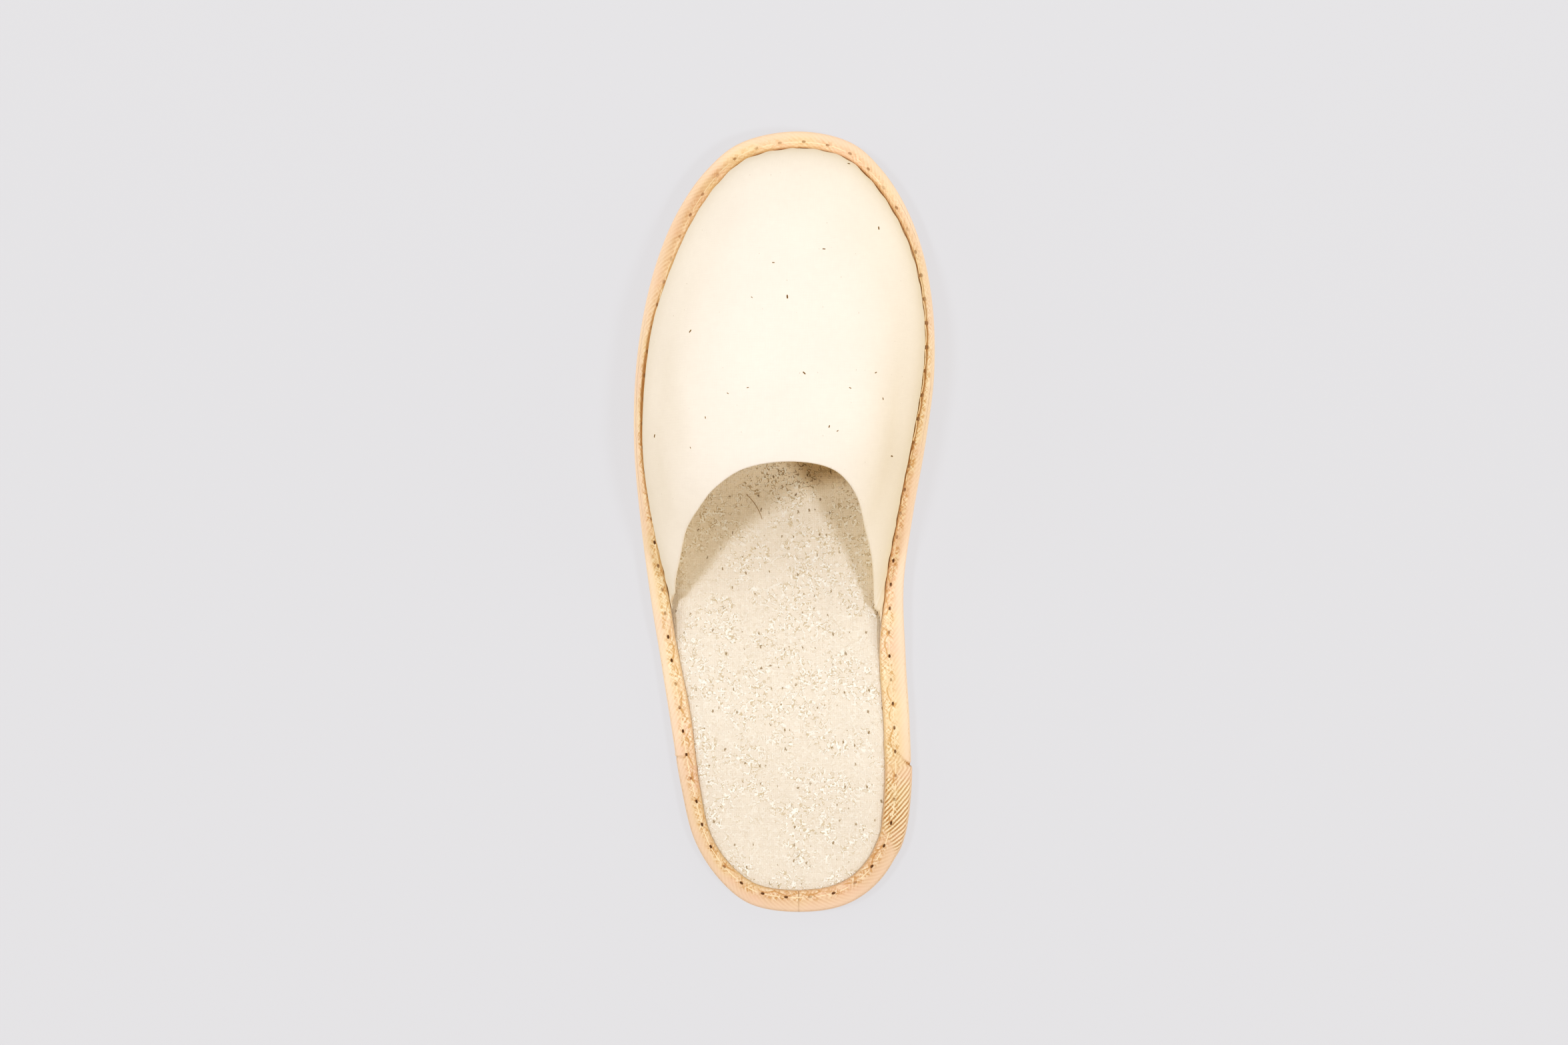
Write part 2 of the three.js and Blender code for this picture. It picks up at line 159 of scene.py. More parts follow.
def splineThrough(points, closed):  # centripetal, through every point
    points = np.asarray(points, float)
    if closed:
        padded = np.vstack([points[-1], points, points[:2]])
    else:
        padded = np.vstack([2 * points[0] - points[1], points, 2 * points[-1] - points[-2]])
    line = []
    t = np.linspace(0, 1, spanSteps, endpoint=False)[:, None]
    for a, b, c, d in zip(padded, padded[1:], padded[2:], padded[3:]):
        before, here, after = (math.sqrt(np.linalg.norm(q - p)) for p, q in ((a, b), (b, c), (c, d)))
        start = ((b - a) / before - (c - a) / (before + here) + (c - b) / here) * here
        end = ((c - b) / here - (d - b) / (here + after) + (d - c) / after) * here
        line.append(
            b + start * t + (3 * (c - b) - 2 * start - end) * t**2 + (2 * (b - c) + start + end) * t**3
        )
    line.append(padded[-2][None] if not closed else points[:1])
    return np.vstack(line)


def arcLength(line):
    return np.concatenate([[0], np.cumsum(np.linalg.norm(np.diff(line, axis=0), axis=1))])


def evenly(line, steps):
    length = arcLength(line)
    places = np.linspace(0, length[-1], steps + 1)
    return np.stack([np.interp(places, length, line[:, axis]) for axis in range(line.shape[1])], axis=1)


def sideOfOutline(side, sign, heelSteps, vampSteps):
    tip = outlineTable["tip"]
    across = [tip] + [sign * x for x in outlineTable[side]] + [tip]
    other = [-sign * x for x in outlineTable["medial" if side == "lateral" else "lateral"]]
    ats = [0] + outlineTable["at"] + [1] + outlineTable["at"][::-1]
    points = np.stack([np.array(across + other[::-1]) * sole["width"], alongOf(ats)], axis=1)
    line = splineThrough(points, True)[: (len(outlineTable["at"]) + 1) * spanSteps + 1]
    cut = int(np.argmax(atOf(line[:, 1]) >= vamp[side + "Corner"]))
    return np.vstack([evenly(line[: cut + 1], heelSteps), evenly(line[cut:], vampSteps)[1:]])


def makeRail(shape):  # clockwise from above, from the heel's tip
    heelSteps, vampSteps = shape["heelSteps"], shape["vampSteps"]
    lateral = sideOfOutline("lateral", -1, heelSteps, vampSteps)
    medial = sideOfOutline("medial", 1, heelSteps, vampSteps)[::-1][1:-1]
    points = np.vstack([lateral, medial])
    count = len(points)
    tangent = np.roll(points, -1, axis=0) - np.roll(points, 1, axis=0)
    tangent /= np.linalg.norm(tangent, axis=1)[:, None]
    toe = count // 2
    index = np.arange(count)
    at = atOf(points[:, 1])
    onLateral = index <= toe

    def eitherSide(name, table=edgeTable):
        lateralValues = readColumn(table, "lateral" + name, at)
        return np.where(onLateral, lateralValues, readColumn(table, "medial" + name, at))

    length = arcLength(np.vstack([points, points[:1]]))
    behind = np.maximum(length[heelSteps] - length[:-1], length[:-1] - length[count - heelSteps])
    vampShare = smooth(1 - behind / vamp["stepLength"])
    return {
        "count": count,
        "toe": toe,
        "corner": heelSteps,
        "point": points,
        "length": length,
        "inward": np.stack([tangent[:, 1], -tangent[:, 0]], axis=1),
        "vamp": vampShare,
        "cover": tape["width"] * eitherSide(""),
        "rise": tape["width"] * eitherSide("Rise") * vampShare,
        "lift": sole["lift"] * readColumn(edgeTable, "lift", at),
        "seam": tape["width"] * eitherSide("") * eitherSide("", seamTable),
    }


def place(rail, distance, height, rows=slice(None)):  # from the outline inwards, over the flat sole
    distance = np.broadcast_to(distance, rail["cover"][rows].shape)
    bend = 1 - smooth(distance / sole["liftReach"])
    plan = rail["point"][rows] + rail["inward"][rows] * distance[:, None]
    return np.column_stack([plan, height + rail["lift"][rows] * bend])


def stackTop(rail, distance, rows=slice(None)):
    share = np.clip(distance / rail["cover"][rows], 0, 1)
    margin = rail["vamp"][rows] * (sole["gap"] + vamp["wall"])
    return levels["insoleEdge"] + margin + rail["rise"][rows] * share ** tape["riseBend"]


# Mesh helpers


def gridFaces(columns, rows, wrapColumns=False, wrapRows=False):
    c = np.arange(columns if wrapColumns else columns - 1)[:, None]
    r = np.arange(rows if wrapRows else rows - 1)[None, :]
    nextC, nextR = (c + 1) % columns, (r + 1) % rows
    corners = [c * rows + r, c * rows + nextR, nextC * rows + nextR, nextC * rows + r]
    return np.stack(np.broadcast_arrays(*corners), axis=-1).reshape(-1, 4)


def addToScene(name, data):
    thing = bpy.data.objects.new(name, data)
    bpy.context.scene.collection.objects.link(thing)
    return thing


def addMesh(name, points, faces, cloth=None, values=None, merge=0.0):  # points and cloth in mm
    mesh = bpy.data.meshes.new(name)
    mesh.from_pydata((np.asarray(points) * mm).tolist(), [], np.asarray(faces).tolist())
    for key, column in (values or {}).items():
        layer = mesh.attributes.new(key, "FLOAT", "POINT")
        layer.data.foreach_set("value", np.asarray(column, np.float32))
    if cloth is not None:
        corners = np.empty(len(mesh.loops), np.int32)
        mesh.loops.foreach_get("vertex_index", corners)
        uvLayer = mesh.uv_layers.new(name="cloth")
        uvLayer.data.foreach_set("uv", (np.asarray(cloth)[corners] * mm).astype(np.float32).ravel())
    if merge:
        work = bmesh.new()
        work.from_mesh(mesh)
        bmesh.ops.remove_doubles(work, verts=work.verts, dist=merge * mm)
        work.to_mesh(mesh)
        work.free()
    mesh.polygons.foreach_set("use_smooth", np.ones(len(mesh.polygons), bool))
    mesh.update()
    return addToScene(name, mesh)


def finishPiece(piece, material, slot, *nodes):
    piece.data.materials.clear()
    piece.data.materials.append(material)
    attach(piece, "root")
    if nodes:
        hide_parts(*nodes)


def softNoise(x, y, z, size, seed):  # from -1 to 1, over lengths of about the size
    places = zip(x.ravel() / size + seed, y.ravel() / size, z.ravel() / size)
    return np.array([noise.noise(Vector(spot)) for spot in places]).reshape(x.shape)


# Shader groups

print("materials")


class Field:  # a node's output; sums and products of fields add the math nodes
    def __init__(self, socket):
        self.socket = socket
        self.nodes = socket.id_data.nodes
        self.wide = socket.type in ("VECTOR", "RGBA")

    def __add__(self, other):
        return calc("ADD", self, other)

    def __sub__(self, other):
        return calc("SUBTRACT", self, other)

    def __rsub__(self, other):
        return calc("SUBTRACT", other, self)

    def __mul__(self, other):
        return calc("MULTIPLY", self, other)

    def __truediv__(self, other):
        return calc("DIVIDE", self, other)

    def __rtruediv__(self, other):
        return calc("DIVIDE", other, self)


def feed(socket, value):
    if isinstance(value, Field):
        socket.id_data.links.new(value.socket, socket)
    elif value is not None:
        socket.default_value = value


def make(nodes, kind, inputs, output=0, **settings):  # inputs in their order, or by name
    node = nodes.new(kind)
    for name, value in settings.items():
        setattr(node, name, value)
    for key, value in inputs.items() if isinstance(inputs, dict) else enumerate(inputs):
        feed(node.inputs[key], value)
    return Field(node.outputs[output])


def nodesOf(*values):
    return next(value.nodes for value in values if isinstance(value, Field))


def calc(operation, *values, **settings):  # a vector with a number is scaled
    wide = [value.wide if isinstance(value, Field) else isinstance(value, tuple) for value in values]
    nodes = nodesOf(*values)
    if any(wide) and not all(wide):
        inputs = {0: values[0], "Scale": values[1]}
        return make(nodes, "ShaderNodeVectorMath", inputs, operation="SCALE")
    kind = "ShaderNodeVectorMath" if any(wide) else "ShaderNodeMath"
    return make(nodes, kind, values, operation=operation, **settings)


def dot(vector, way):
    return make(vector.nodes, "ShaderNodeVectorMath", (vector, way), "Value", operation="DOT_PRODUCT")


def split(field):
    kind = "ShaderNodeSeparateColor" if field.socket.type == "RGBA" else "ShaderNodeSeparateXYZ"
    return [Field(socket) for socket in make(field.nodes, kind, (field,)).socket.node.outputs]


def combined(*values):
    return make(nodesOf(*values), "ShaderNodeCombineXYZ", values)


def ramp(value, low, high, start=0.0, end=1.0, kind="SMOOTHSTEP"):
    labels = ("Value", "From Min", "From Max", "To Min", "To Max")
    inputs = dict(zip(labels, (value, low, high, start, end)))
    return make(value.nodes, "ShaderNodeMapRange", inputs, interpolation_type=kind)


def noiseOf(vector, scale, detail=2.0, roughness=0.5, output="Fac"):
    inputs = {"Vector": vector, "Scale": scale, "Detail": detail, "Roughness": roughness}
    return make(vector.nodes, "ShaderNodeTexNoise", inputs, output)


def patches(vector, scale, low, high, start=0.0, end=1.0, detail=1.0):
    return ramp(noiseOf(vector, scale, detail), low, high, start, end)


def shaken(vector, scale, amount, detail=2.0):  # places moved about a little
    wander = noiseOf(vector, scale, detail, output="Color")
    return vector + (wander - (0.5, 0.5, 0.5)) * amount


def mixed(share, first, second, blend="MIX"):
    inputs = {0: share, 6: first, 7: second}
    nodes = nodesOf(share, first, second)
    return make(nodes, "ShaderNodeMix", inputs, 2, data_type="RGBA", blend_type=blend)


def newTree(kind, name, inputs, outputs, outputSort="Float"):  # inputs by kind of socket, or by value
    tree = bpy.data.node_groups.new(name, kind + "NodeTree")
    sorts = {float: "Float", int: "Int"}
    for label, value in inputs.items():
        sort = sorts.get(type(value), value)
        socket = tree.interface.new_socket(name=label, in_out="INPUT", socket_type=f"NodeSocket{sort}")
        if type(value) in sorts:
            socket.default_value = value
    for label in outputs:
        tree.interface.new_socket(name=label, in_out="OUTPUT", socket_type="NodeSocket" + outputSort)
    inside = tree.nodes.new("NodeGroupInput")
    given = {label: Field(inside.outputs[label]) for label in inputs}
    return tree, given, tree.nodes.new("NodeGroupOutput").inputs


def roundThreads(value):  # the height of round threads at every whole number, and that number
    number = calc("ROUND", value)
    offset = (value - number) * 2.0
    return calc("SQRT", calc("SUBTRACT", 1.0, offset * offset, use_clamp=True)), number


def weaveGroup():  # a plain weave of round threads, with slubs; the cloth vector is in millimetres
    inputs = {"Cloth": "Vector", "Thread": 0.5, "Uneven": 0.3, "Slubs": 0.3}
    tree, given, out = newTree("Shader", "plain weave", inputs, ["Height", "Tone"])
    counted = shaken(given["Cloth"], 0.35, given["Uneven"]) * (1.0 / given["Thread"])
    x, y = split(counted)[:2]
    warpBody, warpNumber = roundThreads(x)
    weftBody, weftNumber = roundThreads(y)
    warp = warpBody + calc("COSINE", (y + warpNumber) * math.pi) * 0.6
    weft = weftBody - calc("COSINE", (x + weftNumber) * math.pi) * 0.6
    warpUp = calc("GREATER_THAN", warp, weft)
    tones, slubs = [], []
    for size, seed, mask in (((1.0, 0.11, 1), 0, warpUp), ((0.11, 1.0, 1), 40, 1.0 - warpUp)):
        along = counted * size + (seed, seed, 0)
        tones.append(noiseOf(along, 1.0, 0.0) * mask)
        slubs.append(patches(along * (0.8, 0.8, 1), 0.9, 0.6, 0.74) * mask)
    slub = (slubs[0] + slubs[1]) * given["Slubs"]
    feed(out["Height"], calc("MAXIMUM", warp, weft) * 0.6 + slub)
    feed(out["Tone"], ramp(tones[0] + tones[1], 0.25, 0.75))
    return tree


def twillGroup():  # diagonal ribs of a twill, cut into stitches by the crossing threads
    inputs = {"Cloth": "Vector", "Rib": 0.9, "Bold": 0.0}
    tree, given, out = newTree("Shader", "twill", inputs, ["Height", "Rib"])
    moved = shaken(given["Cloth"], 0.5, 0.35, 1.0)
    rib = dot(moved, (-0.57, 0.82, 0)) / given["Rib"]
    cross = dot(moved, (0.82, 0.57, 0)) / (given["Rib"] * 0.6)
    bead = calc("ABSOLUTE", calc("COSINE", cross * math.pi))
    feed(out["Height"], roundThreads(rib)[0] * (given["Bold"] + 0.7) + bead * 0.3)
    wave = calc("COSINE", rib * (2 * math.pi)) + (bead - 0.6) * 0.5
    feed(out["Rib"], ramp(wave, -0.7, 0.8))
    return tree


def puckerGroup():  # short slanting tucks that a seam draws up in the cloth
    inputs = {"Cloth": "Vector", "Size": 1.0, "Seed": 0.0}
    tree, given, out = newTree("Shader", "puckers", inputs, ["Height"])
    along, across = split(given["Cloth"] * (1.0 / given["Size"]))[:2]
    tucks = []
    for slant, seed in ((0.8, 0.0), (-0.9, 19.0)):
        spot = combined(along + across * slant, across * 0.4, given["Seed"] + seed)
        tucks.append(noiseOf(spot, 1.0, 1.0, 0.6))
    feed(out["Height"], ramp(tucks[0] - tucks[1], -0.28, 0.28))
    return tree


def fleckGroup():  # scattered ragged specks of seed husk
    inputs = {"Place": "Vector", "Spacing": 6.0, "Size": 0.3, "Share": 0.5, "Seed": 0.0}
    tree, given, out = newTree("Shader", "flecks", inputs, ["Mask"])
    place = shaken(given["Place"] * (1.0, 0.62, 1.0), 2.4, given["Size"] * 2.6)
    place = (place + combined(*[given["Seed"]] * 3)) * (1.0 / given["Spacing"])
    inputs = {"Vector": place, "Scale": 1.0}
    cells = make(tree.nodes, "ShaderNodeTexVoronoi", inputs, "Distance", voronoi_dimensions="2D")
    draws = split(Field(cells.socket.node.outputs["Color"]))
    distance = cells * given["Spacing"]
    size = given["Size"] * ramp(draws[0], 0.0, 1.0, 0.35, 1.0, "LINEAR")
    kept = calc("LESS_THAN", draws[1], given["Share"])
    feed(out["Mask"], (1.0 - ramp(distance, size * 0.6, size)) * kept)
    return tree


def napGroup():  # short curled fibres along the contour lines of a noise, in loose clusters; pale strokes with a painted highlight, each with a painted shadow beside it
    inputs = {"Place": "Vector", "Size": 1.0, "Level": 0.5, "Seed": 0.0}
    tree, given, out = newTree("Shader", "nap", inputs, ["Mask", "Shade"])
    moved = given["Place"] * (1.0 / given["Size"]) + combined(0.0, 0.0, given["Seed"])
    away = noiseOf(moved, 1.0, 0.6, 0.6) - given["Level"]
    lit = ramp(away, 0.0, 0.035) * ramp(away, 0.15, 0.10)
    dim = ramp(away, 0.0, -0.03) * ramp(away, -0.13, -0.08)
    pieces = patches(moved + (31, 47, 5), 0.8, 0.5, 0.56)
    kept = pieces * patches(given["Place"], 0.1, 0.4, 0.58, 0.25, 0.9, 2.0)
    feed(out["Mask"], lit * kept)
    feed(out["Shade"], dim * kept)
    return tree


def shadeGroup():  # slow changes of tone over the cloth, from handling and dye
    tree, given, out = newTree("Shader", "cloth shade", {"Place": "Vector", "Amount": 0.1}, ["Tone"])
    both = noiseOf(given["Place"], 0.028, 3.0) * 0.7 + noiseOf(given["Place"], 0.35, 3.0) * 0.3
    feed(out["Tone"], (both - 0.5) * (given["Amount"] * 2.0) + 1.0)
    return tree


groups = {
    "weave": weaveGroup(),
    "twill": twillGroup(),
    "puckers": puckerGroup(),
    "flecks": fleckGroup(),
    "nap": napGroup(),
    "shade": shadeGroup(),
}


def useGroup(name, **values):
    node = nodesOf(*values.values()).new("ShaderNodeGroup")
    node.node_tree = groups[name]
    for label, value in values.items():
        feed(node.inputs[label], value)
    return {socket.name: Field(socket) for socket in node.outputs}


def newMaterial(name, roughness, sheen=0.0, specular=0.3):
    material = bpy.data.materials.new(name)
    material.use_nodes = True
    nodes = material.node_tree.nodes
    shader = nodes["Principled BSDF"].inputs
    feed(shader["Roughness"], roughness)
    feed(shader["Sheen Weight"], sheen)
    feed(shader["Sheen Roughness"], 0.5)
    feed(shader["Specular IOR Level"], specular)
    return material, nodes, shader


def readCloth(nodes):  # millimetres on the cloth's own map
    return make(nodes, "ShaderNodeUVMap", (), uv_map="cloth") * (1 / mm)


def readPlace(nodes):  # millimetres in the piece's own space
    return make(nodes, "ShaderNodeTexCoord", (), "Object") * (1 / mm)


def readValue(nodes, name):
    return make(nodes, "ShaderNodeAttribute", (), "Fac", attribute_name=name)


def addBump(shader, height, depth, strength):  # depth in millimetres
    inputs = {"Height": height, "Distance": depth * mm, "Strength": strength}
    feed(shader["Normal"], make(height.nodes, "ShaderNodeBump", inputs))


# Geometry Nodes trees, for what repeats


def placeOnPoints(points, instance, size, material):
    nodes, turn = points.nodes, None
    for axis, name, pivot in (("X", "along", "AUTO"), ("Z", "up", "X")):
        kind = "GeometryNodeInputNamedAttribute"
        way = make(nodes, kind, {"Name": name}, "Attribute", data_type="FLOAT_VECTOR")
        inputs = {"Rotation": turn, "Vector": way}
        turn = make(nodes, "FunctionNodeAlignRotationToVector", inputs, axis=axis, pivot_axis=pivot)
    inputs = {"Points": points, "Instance": instance, "Rotation": turn, "Scale": size}
    spread = make(nodes, "GeometryNodeInstanceOnPoints", inputs)
    plain = make(nodes, "GeometryNodeRealizeInstances", (spread,))
    return make(nodes, "GeometryNodeSetMaterial", {"Geometry": plain, "Material": material})


def threadNodes():  # one bowed length of thread on each point, along X and up in Z
    inputs = {"Geometry": "Geometry", "Length": 0.005, "Thickness": 0.0004, "Sink": 0.0003}
    inputs |= {"Crown": 0.0002, "Uneven": 0.1, "Seed": 1, "Material": "Material"}
    tree, given, out = newTree("Geometry", "thread lengths", inputs, ["Geometry"], "Geometry")
    half, down = given["Length"] * 0.5, given["Sink"] * -1.0
    corners = {
        "Start": combined(half * -1.0, 0.0, down),
        "Middle": combined(0.0, 0.0, given["Crown"] * 2.0),
        "End": combined(half, 0.0, down),
    }
    curve = make(tree.nodes, "GeometryNodeCurveQuadraticBezier", {"Resolution": 8, **corners})
    inputs = {"Resolution": 8, "Radius": given["Thickness"] * 0.5}
    ring = make(tree.nodes, "GeometryNodeCurvePrimitiveCircle", inputs)
    inputs = {"Curve": curve, "Profile Curve": ring, "Fill Caps": True}
    tube = make(tree.nodes, "GeometryNodeCurveToMesh", inputs)
    soft = make(tree.nodes, "GeometryNodeSetShadeSmooth", {"Geometry": tube})
    chance = tree.nodes.new("FunctionNodeRandomValue")
    chance.data_type = "FLOAT"
    low, high = [socket for socket in chance.inputs if socket.enabled][:2]
    feed(low, 1.0 - given["Uneven"])
    feed(high, given["Uneven"] + 1.0)
    feed(chance.inputs["Seed"], given["Seed"])
    drawn = Field(next(socket for socket in chance.outputs if socket.enabled))
    feed(out[0], placeOnPoints(given["Geometry"], soft, drawn, given["Material"]))
    return tree


def dotNodes():  # one flat-topped round dot on each point
    inputs = {"Geometry": "Geometry", "Width": 0.0024, "Height": 0.0005, "Material": "Material"}
    tree, given, out = newTree("Geometry", "tread dots", inputs, ["Geometry"], "Geometry")
    half = given["Width"] * 0.5
    inputs = {"Vertices": 12, "Radius Bottom": half * 0.72, "Radius Top": half, "Depth": given["Height"]}
    cone = make(tree.nodes, "GeometryNodeMeshCone", inputs, "Mesh")
    feed(out[0], placeOnPoints(given["Geometry"], cone, None, given["Material"]))
    return tree


trees = {"thread": threadNodes(), "dots": dotNodes()}
lengthInputs = ("Length", "Thickness", "Sink", "Crown", "Width", "Height")


def scatter(name, tree, points, along, up, slot, material, **values):  # points in mm; a plain mesh
    source = addMesh(name + "Points", points, np.zeros((0, 4), int))
    for key, column in (("along", along), ("up", up)):
        layer = source.data.attributes.new(key, "FLOAT_VECTOR", "POINT")
        layer.data.foreach_set("vector", np.asarray(column, np.float32).ravel())
    modifier = source.modifiers.new("spread", "NODES")
    modifier.node_group = trees[tree]
    values["Material"] = material
    for item in trees[tree].interface.items_tree:
        if item.in_out == "INPUT" and item.name in values:
            value = values[item.name]
            modifier[item.identifier] = float(value * mm) if item.name in lengthInputs else value
    seen = source.evaluated_get(bpy.context.evaluated_depsgraph_get())
    mesh = bpy.data.meshes.new_from_object(seen)
    mesh.name = name
    old = source.data
    bpy.data.objects.remove(source)
    bpy.data.meshes.remove(old)
    finishPiece(addToScene(name, mesh), material, slot)


# Edge tape

tapeLook = {
    "pale": (0.86, 0.61, 0.445, 1),
    # Painted highlight on the twill's ridges and painted shade in its gaps
    "ridge": (1.0, 0.86, 0.60, 1),
    "gap": (0.46, 0.26, 0.115, 1),
    "blush": (0.88, 0.58, 0.46, 1),
    "straw": (0.88, 0.69, 0.43, 1),
    # Painted highlight on the tape's rounded outer edge
    "rim": (0.91, 0.70, 0.55, 1),
    # Painted shade in the tucks and creases, and a painted highlight on the tucks' crowns
    "tuck": (0.60, 0.34, 0.16, 1),
    "crown": (1.0, 0.84, 0.62, 1),
    # Painted shade in the needle holes
    "hole": (0.09, 0.04, 0.015, 1),
    # Painted shadow along the tape's inner edge, and painted shade in its creases
    "line": (0.34, 0.175, 0.06, 1),
    # Painted shade towards the heel
    "heelShade": (0.85, 0.81, 0.815, 1),
    "toeTint": (0.98, 0.93, 0.9, 1),
    "rib": 1.28,
    "tucks": {"Size": 0.95, "Seed": 5.0},
    "holeWide": 0.42,
    "holeLong": 0.72,
    "lineWidth": 1.1,
    "mottle": 0.1,
    "depth": 0.14,
    # Noise patches: scale, bounds of the noise, the shares there, and detail
    "blushPatches": (0.07, 0.45, 0.65, 0.0, 0.6, 2.0),
    "strawPatches": (0.05, 0.48, 0.66, 0.0, 0.6),
    "tuckPatches": (0.16, 0.35, 0.6, 0.35, 1.0),
    "creasePatches": (0.21, 0.4, 0.6, 0.1, 0.8),
    "holePatches": (0.13, 0.36, 0.56, 0.5, 1.0, 0.0),
    # Ramps: two bounds, and the shares there
    "lapRibs": (0, 1, 0.16, 0.95),
    "lapRim": (0, 1, 0.7, 0.2),
    "tuckReach": (1.2, 2.6, 1.0, 0.0),
    "tuckShade": (0.42, 0.12, 0.0, 0.75),
    "tuckHighlight": (0.6, 0.85, 0.0, 0.8),
    "creaseBow": (0.4, 4.2, 0.15, 1.15),
    "creaseEdge": (0.12, 0.42, 1.0, 0.0),
    "holeEdge": (0.75, 1.35, 1.0, 0.0),
    # Ramps along the foot
    "tuckFade": (40, 90, 1.0, 0.35),
    "creaseFade": (-40, 30, 1.0, 0.4),
    "heelFade": (-60, -112),
    "toeFade": (70, 125),
}
tapeShape = {
    "heelSteps": 250,
    "vampSteps": 410,
    "underSteps": 7,
    "bendSteps": 6,
    "topSteps": 14,
    "endAngles": (0.7, 1.57, 2.44),
    "crown": 0.4,
    "crownPower": 0.8,
    "crownReach": 3,
    "groove": 0.3,
    "grooveWidth": 1.1,
    "dimple": 0.32,
    "dimpleWidth": 1.3,
    "wrinkle": 0.13,
    "gather": 0.17,
    "gatherWidth": 1.7,
    "gatherSize": 1.5,
    "wrinkleSize": 5.0,
    "frontFrom": -20,
    "frontReach": 90,
    "frontEase": 0.5,
    "holeEase": 0.45,
    "lapAt": -87.7,
    "lapLength": 30,
    "lapFade": 6,
    "lapRise": 0.6,
    "lapStep": 0.45,
    "lapSlant": 1.15,
    "lapNotch": 0.5,
    "foldAt": -86,
    "foldSlant": 0.15,
    "foldReach": 2.5,
    "foldRidge": 0.25,
    "foldTrough": 0.4,
    "flankAt": 45,
    "flankReach": 52,
    "shadowHeel": 0.28,
    "shadowVamp": -0.06,
    "shadowFlank": 0.75,
}
farOff = 9  # stands for no seam nearby
stitches = {
    "pitch": 8.7,
    "thread": {"Length": 7.4, "Thickness": 0.42, "Uneven": 0.04, "Seed": 4},
    "sink": 0.4,
    "crown": 0.14,
    "underAt": 5.5,
    "pale": (1.0, 0.85, 0.64, 1),
    "deep": (0.86, 0.62, 0.40, 1),
}


def tapeMaterial():
    material, nodes, shader = newMaterial("twill tape", 0.82, 0.25)
    cloth, where = readCloth(nodes), readPlace(nodes)
    names = ("lap", "seam", "near", "edge", "edgeShadow", "line", "rim", "hole")
    lap, seam, near, edge, edgeShadow, line, rim, holed = (readValue(nodes, name) for name in names)
    y = split(where)[1]
    look = tapeLook
    twill = useGroup("twill", Cloth=cloth, Rib=look["rib"], Bold=lap)
    tucks = useGroup("puckers", Cloth=cloth, **look["tucks"])["Height"]
    # The twill's ribs: a painted highlight on the ridges and painted shade in the gaps, strongest on the
    # lap
    ribbed = mixed(twill["Rib"], look["gap"], look["ridge"])
    colour = mixed(ramp(lap, *look["lapRibs"]), look["pale"], ribbed)
    colour = mixed(patches(where, *look["blushPatches"]), colour, look["blush"])
    colour = mixed(patches(where + (70, 0, 0), *look["strawPatches"]), colour, look["straw"])
    # Painted highlight along the tape's rounded outer edge, weaker on the lap
    colour = mixed(rim * ramp(lap, *look["lapRim"]), colour, look["rim"])
    # The seam's tucks reach further on its inner side, and fade to the front; their hollows get painted
    # shade and their crowns a painted highlight
    inward = (seam - 0.4) * 0.6
    reach = ramp(calc("MAXIMUM", inward, inward * -1.7), *look["tuckReach"])
    drawn = reach * patches(where, *look["tuckPatches"]) * ramp(y, *look["tuckFade"])
    colour = mixed(ramp(tucks, *look["tuckShade"]) * drawn, colour, look["tuck"])
    colour = mixed(ramp(tucks, *look["tuckHighlight"]) * drawn, colour, look["crown"])
    # Painted shade in the crease that bows inwards from hole to hole
    bow = ramp(near, *look["creaseBow"]) + noiseOf(where, 0.45, 1.0)
    crease = ramp(calc("ABSOLUTE", seam - bow), *look["creaseEdge"])
    crease = crease * patches(where, *look["creasePatches"]) * ramp(y, *look["creaseFade"])
    colour = mixed(crease, colour, look["tuck"])
    # Painted shade towards the heel, where less light falls; towards the toe the colour turns a little
    # warmer and darker
    colour = mixed(ramp(y, *look["heelFade"]), colour, look["heelShade"], "MULTIPLY")
    colour = mixed(ramp(y, *look["toeFade"]), colour, look["toeTint"], "MULTIPLY")
    # Painted shadow along the tape's inner edge, and painted shade in the creases at the lap and across
    # the rim
    width = edgeShadow * look["lineWidth"] + 0.25
    shadow = ramp(edge, 0.15, width, 1.0, 0.0) * edgeShadow
    colour = mixed(calc("MAXIMUM", shadow, line), colour, look["line"])
    # Painted shade in the needle holes, weaker towards the front
    wide, long = seam / look["holeWide"], near / look["holeLong"]
    hole = ramp(calc("SQRT", wide * wide + long * long), *look["holeEdge"]) * holed
    colour = mixed(hole * patches(where, *look["holePatches"]), colour, look["hole"])
    shade = useGroup("shade", Place=where, Amount=look["mottle"])["Tone"]
    feed(shader["Base Color"], colour * shade)
    addBump(shader, twill["Height"] + tucks * drawn * 1.6, look["depth"], 0.7)
    return material


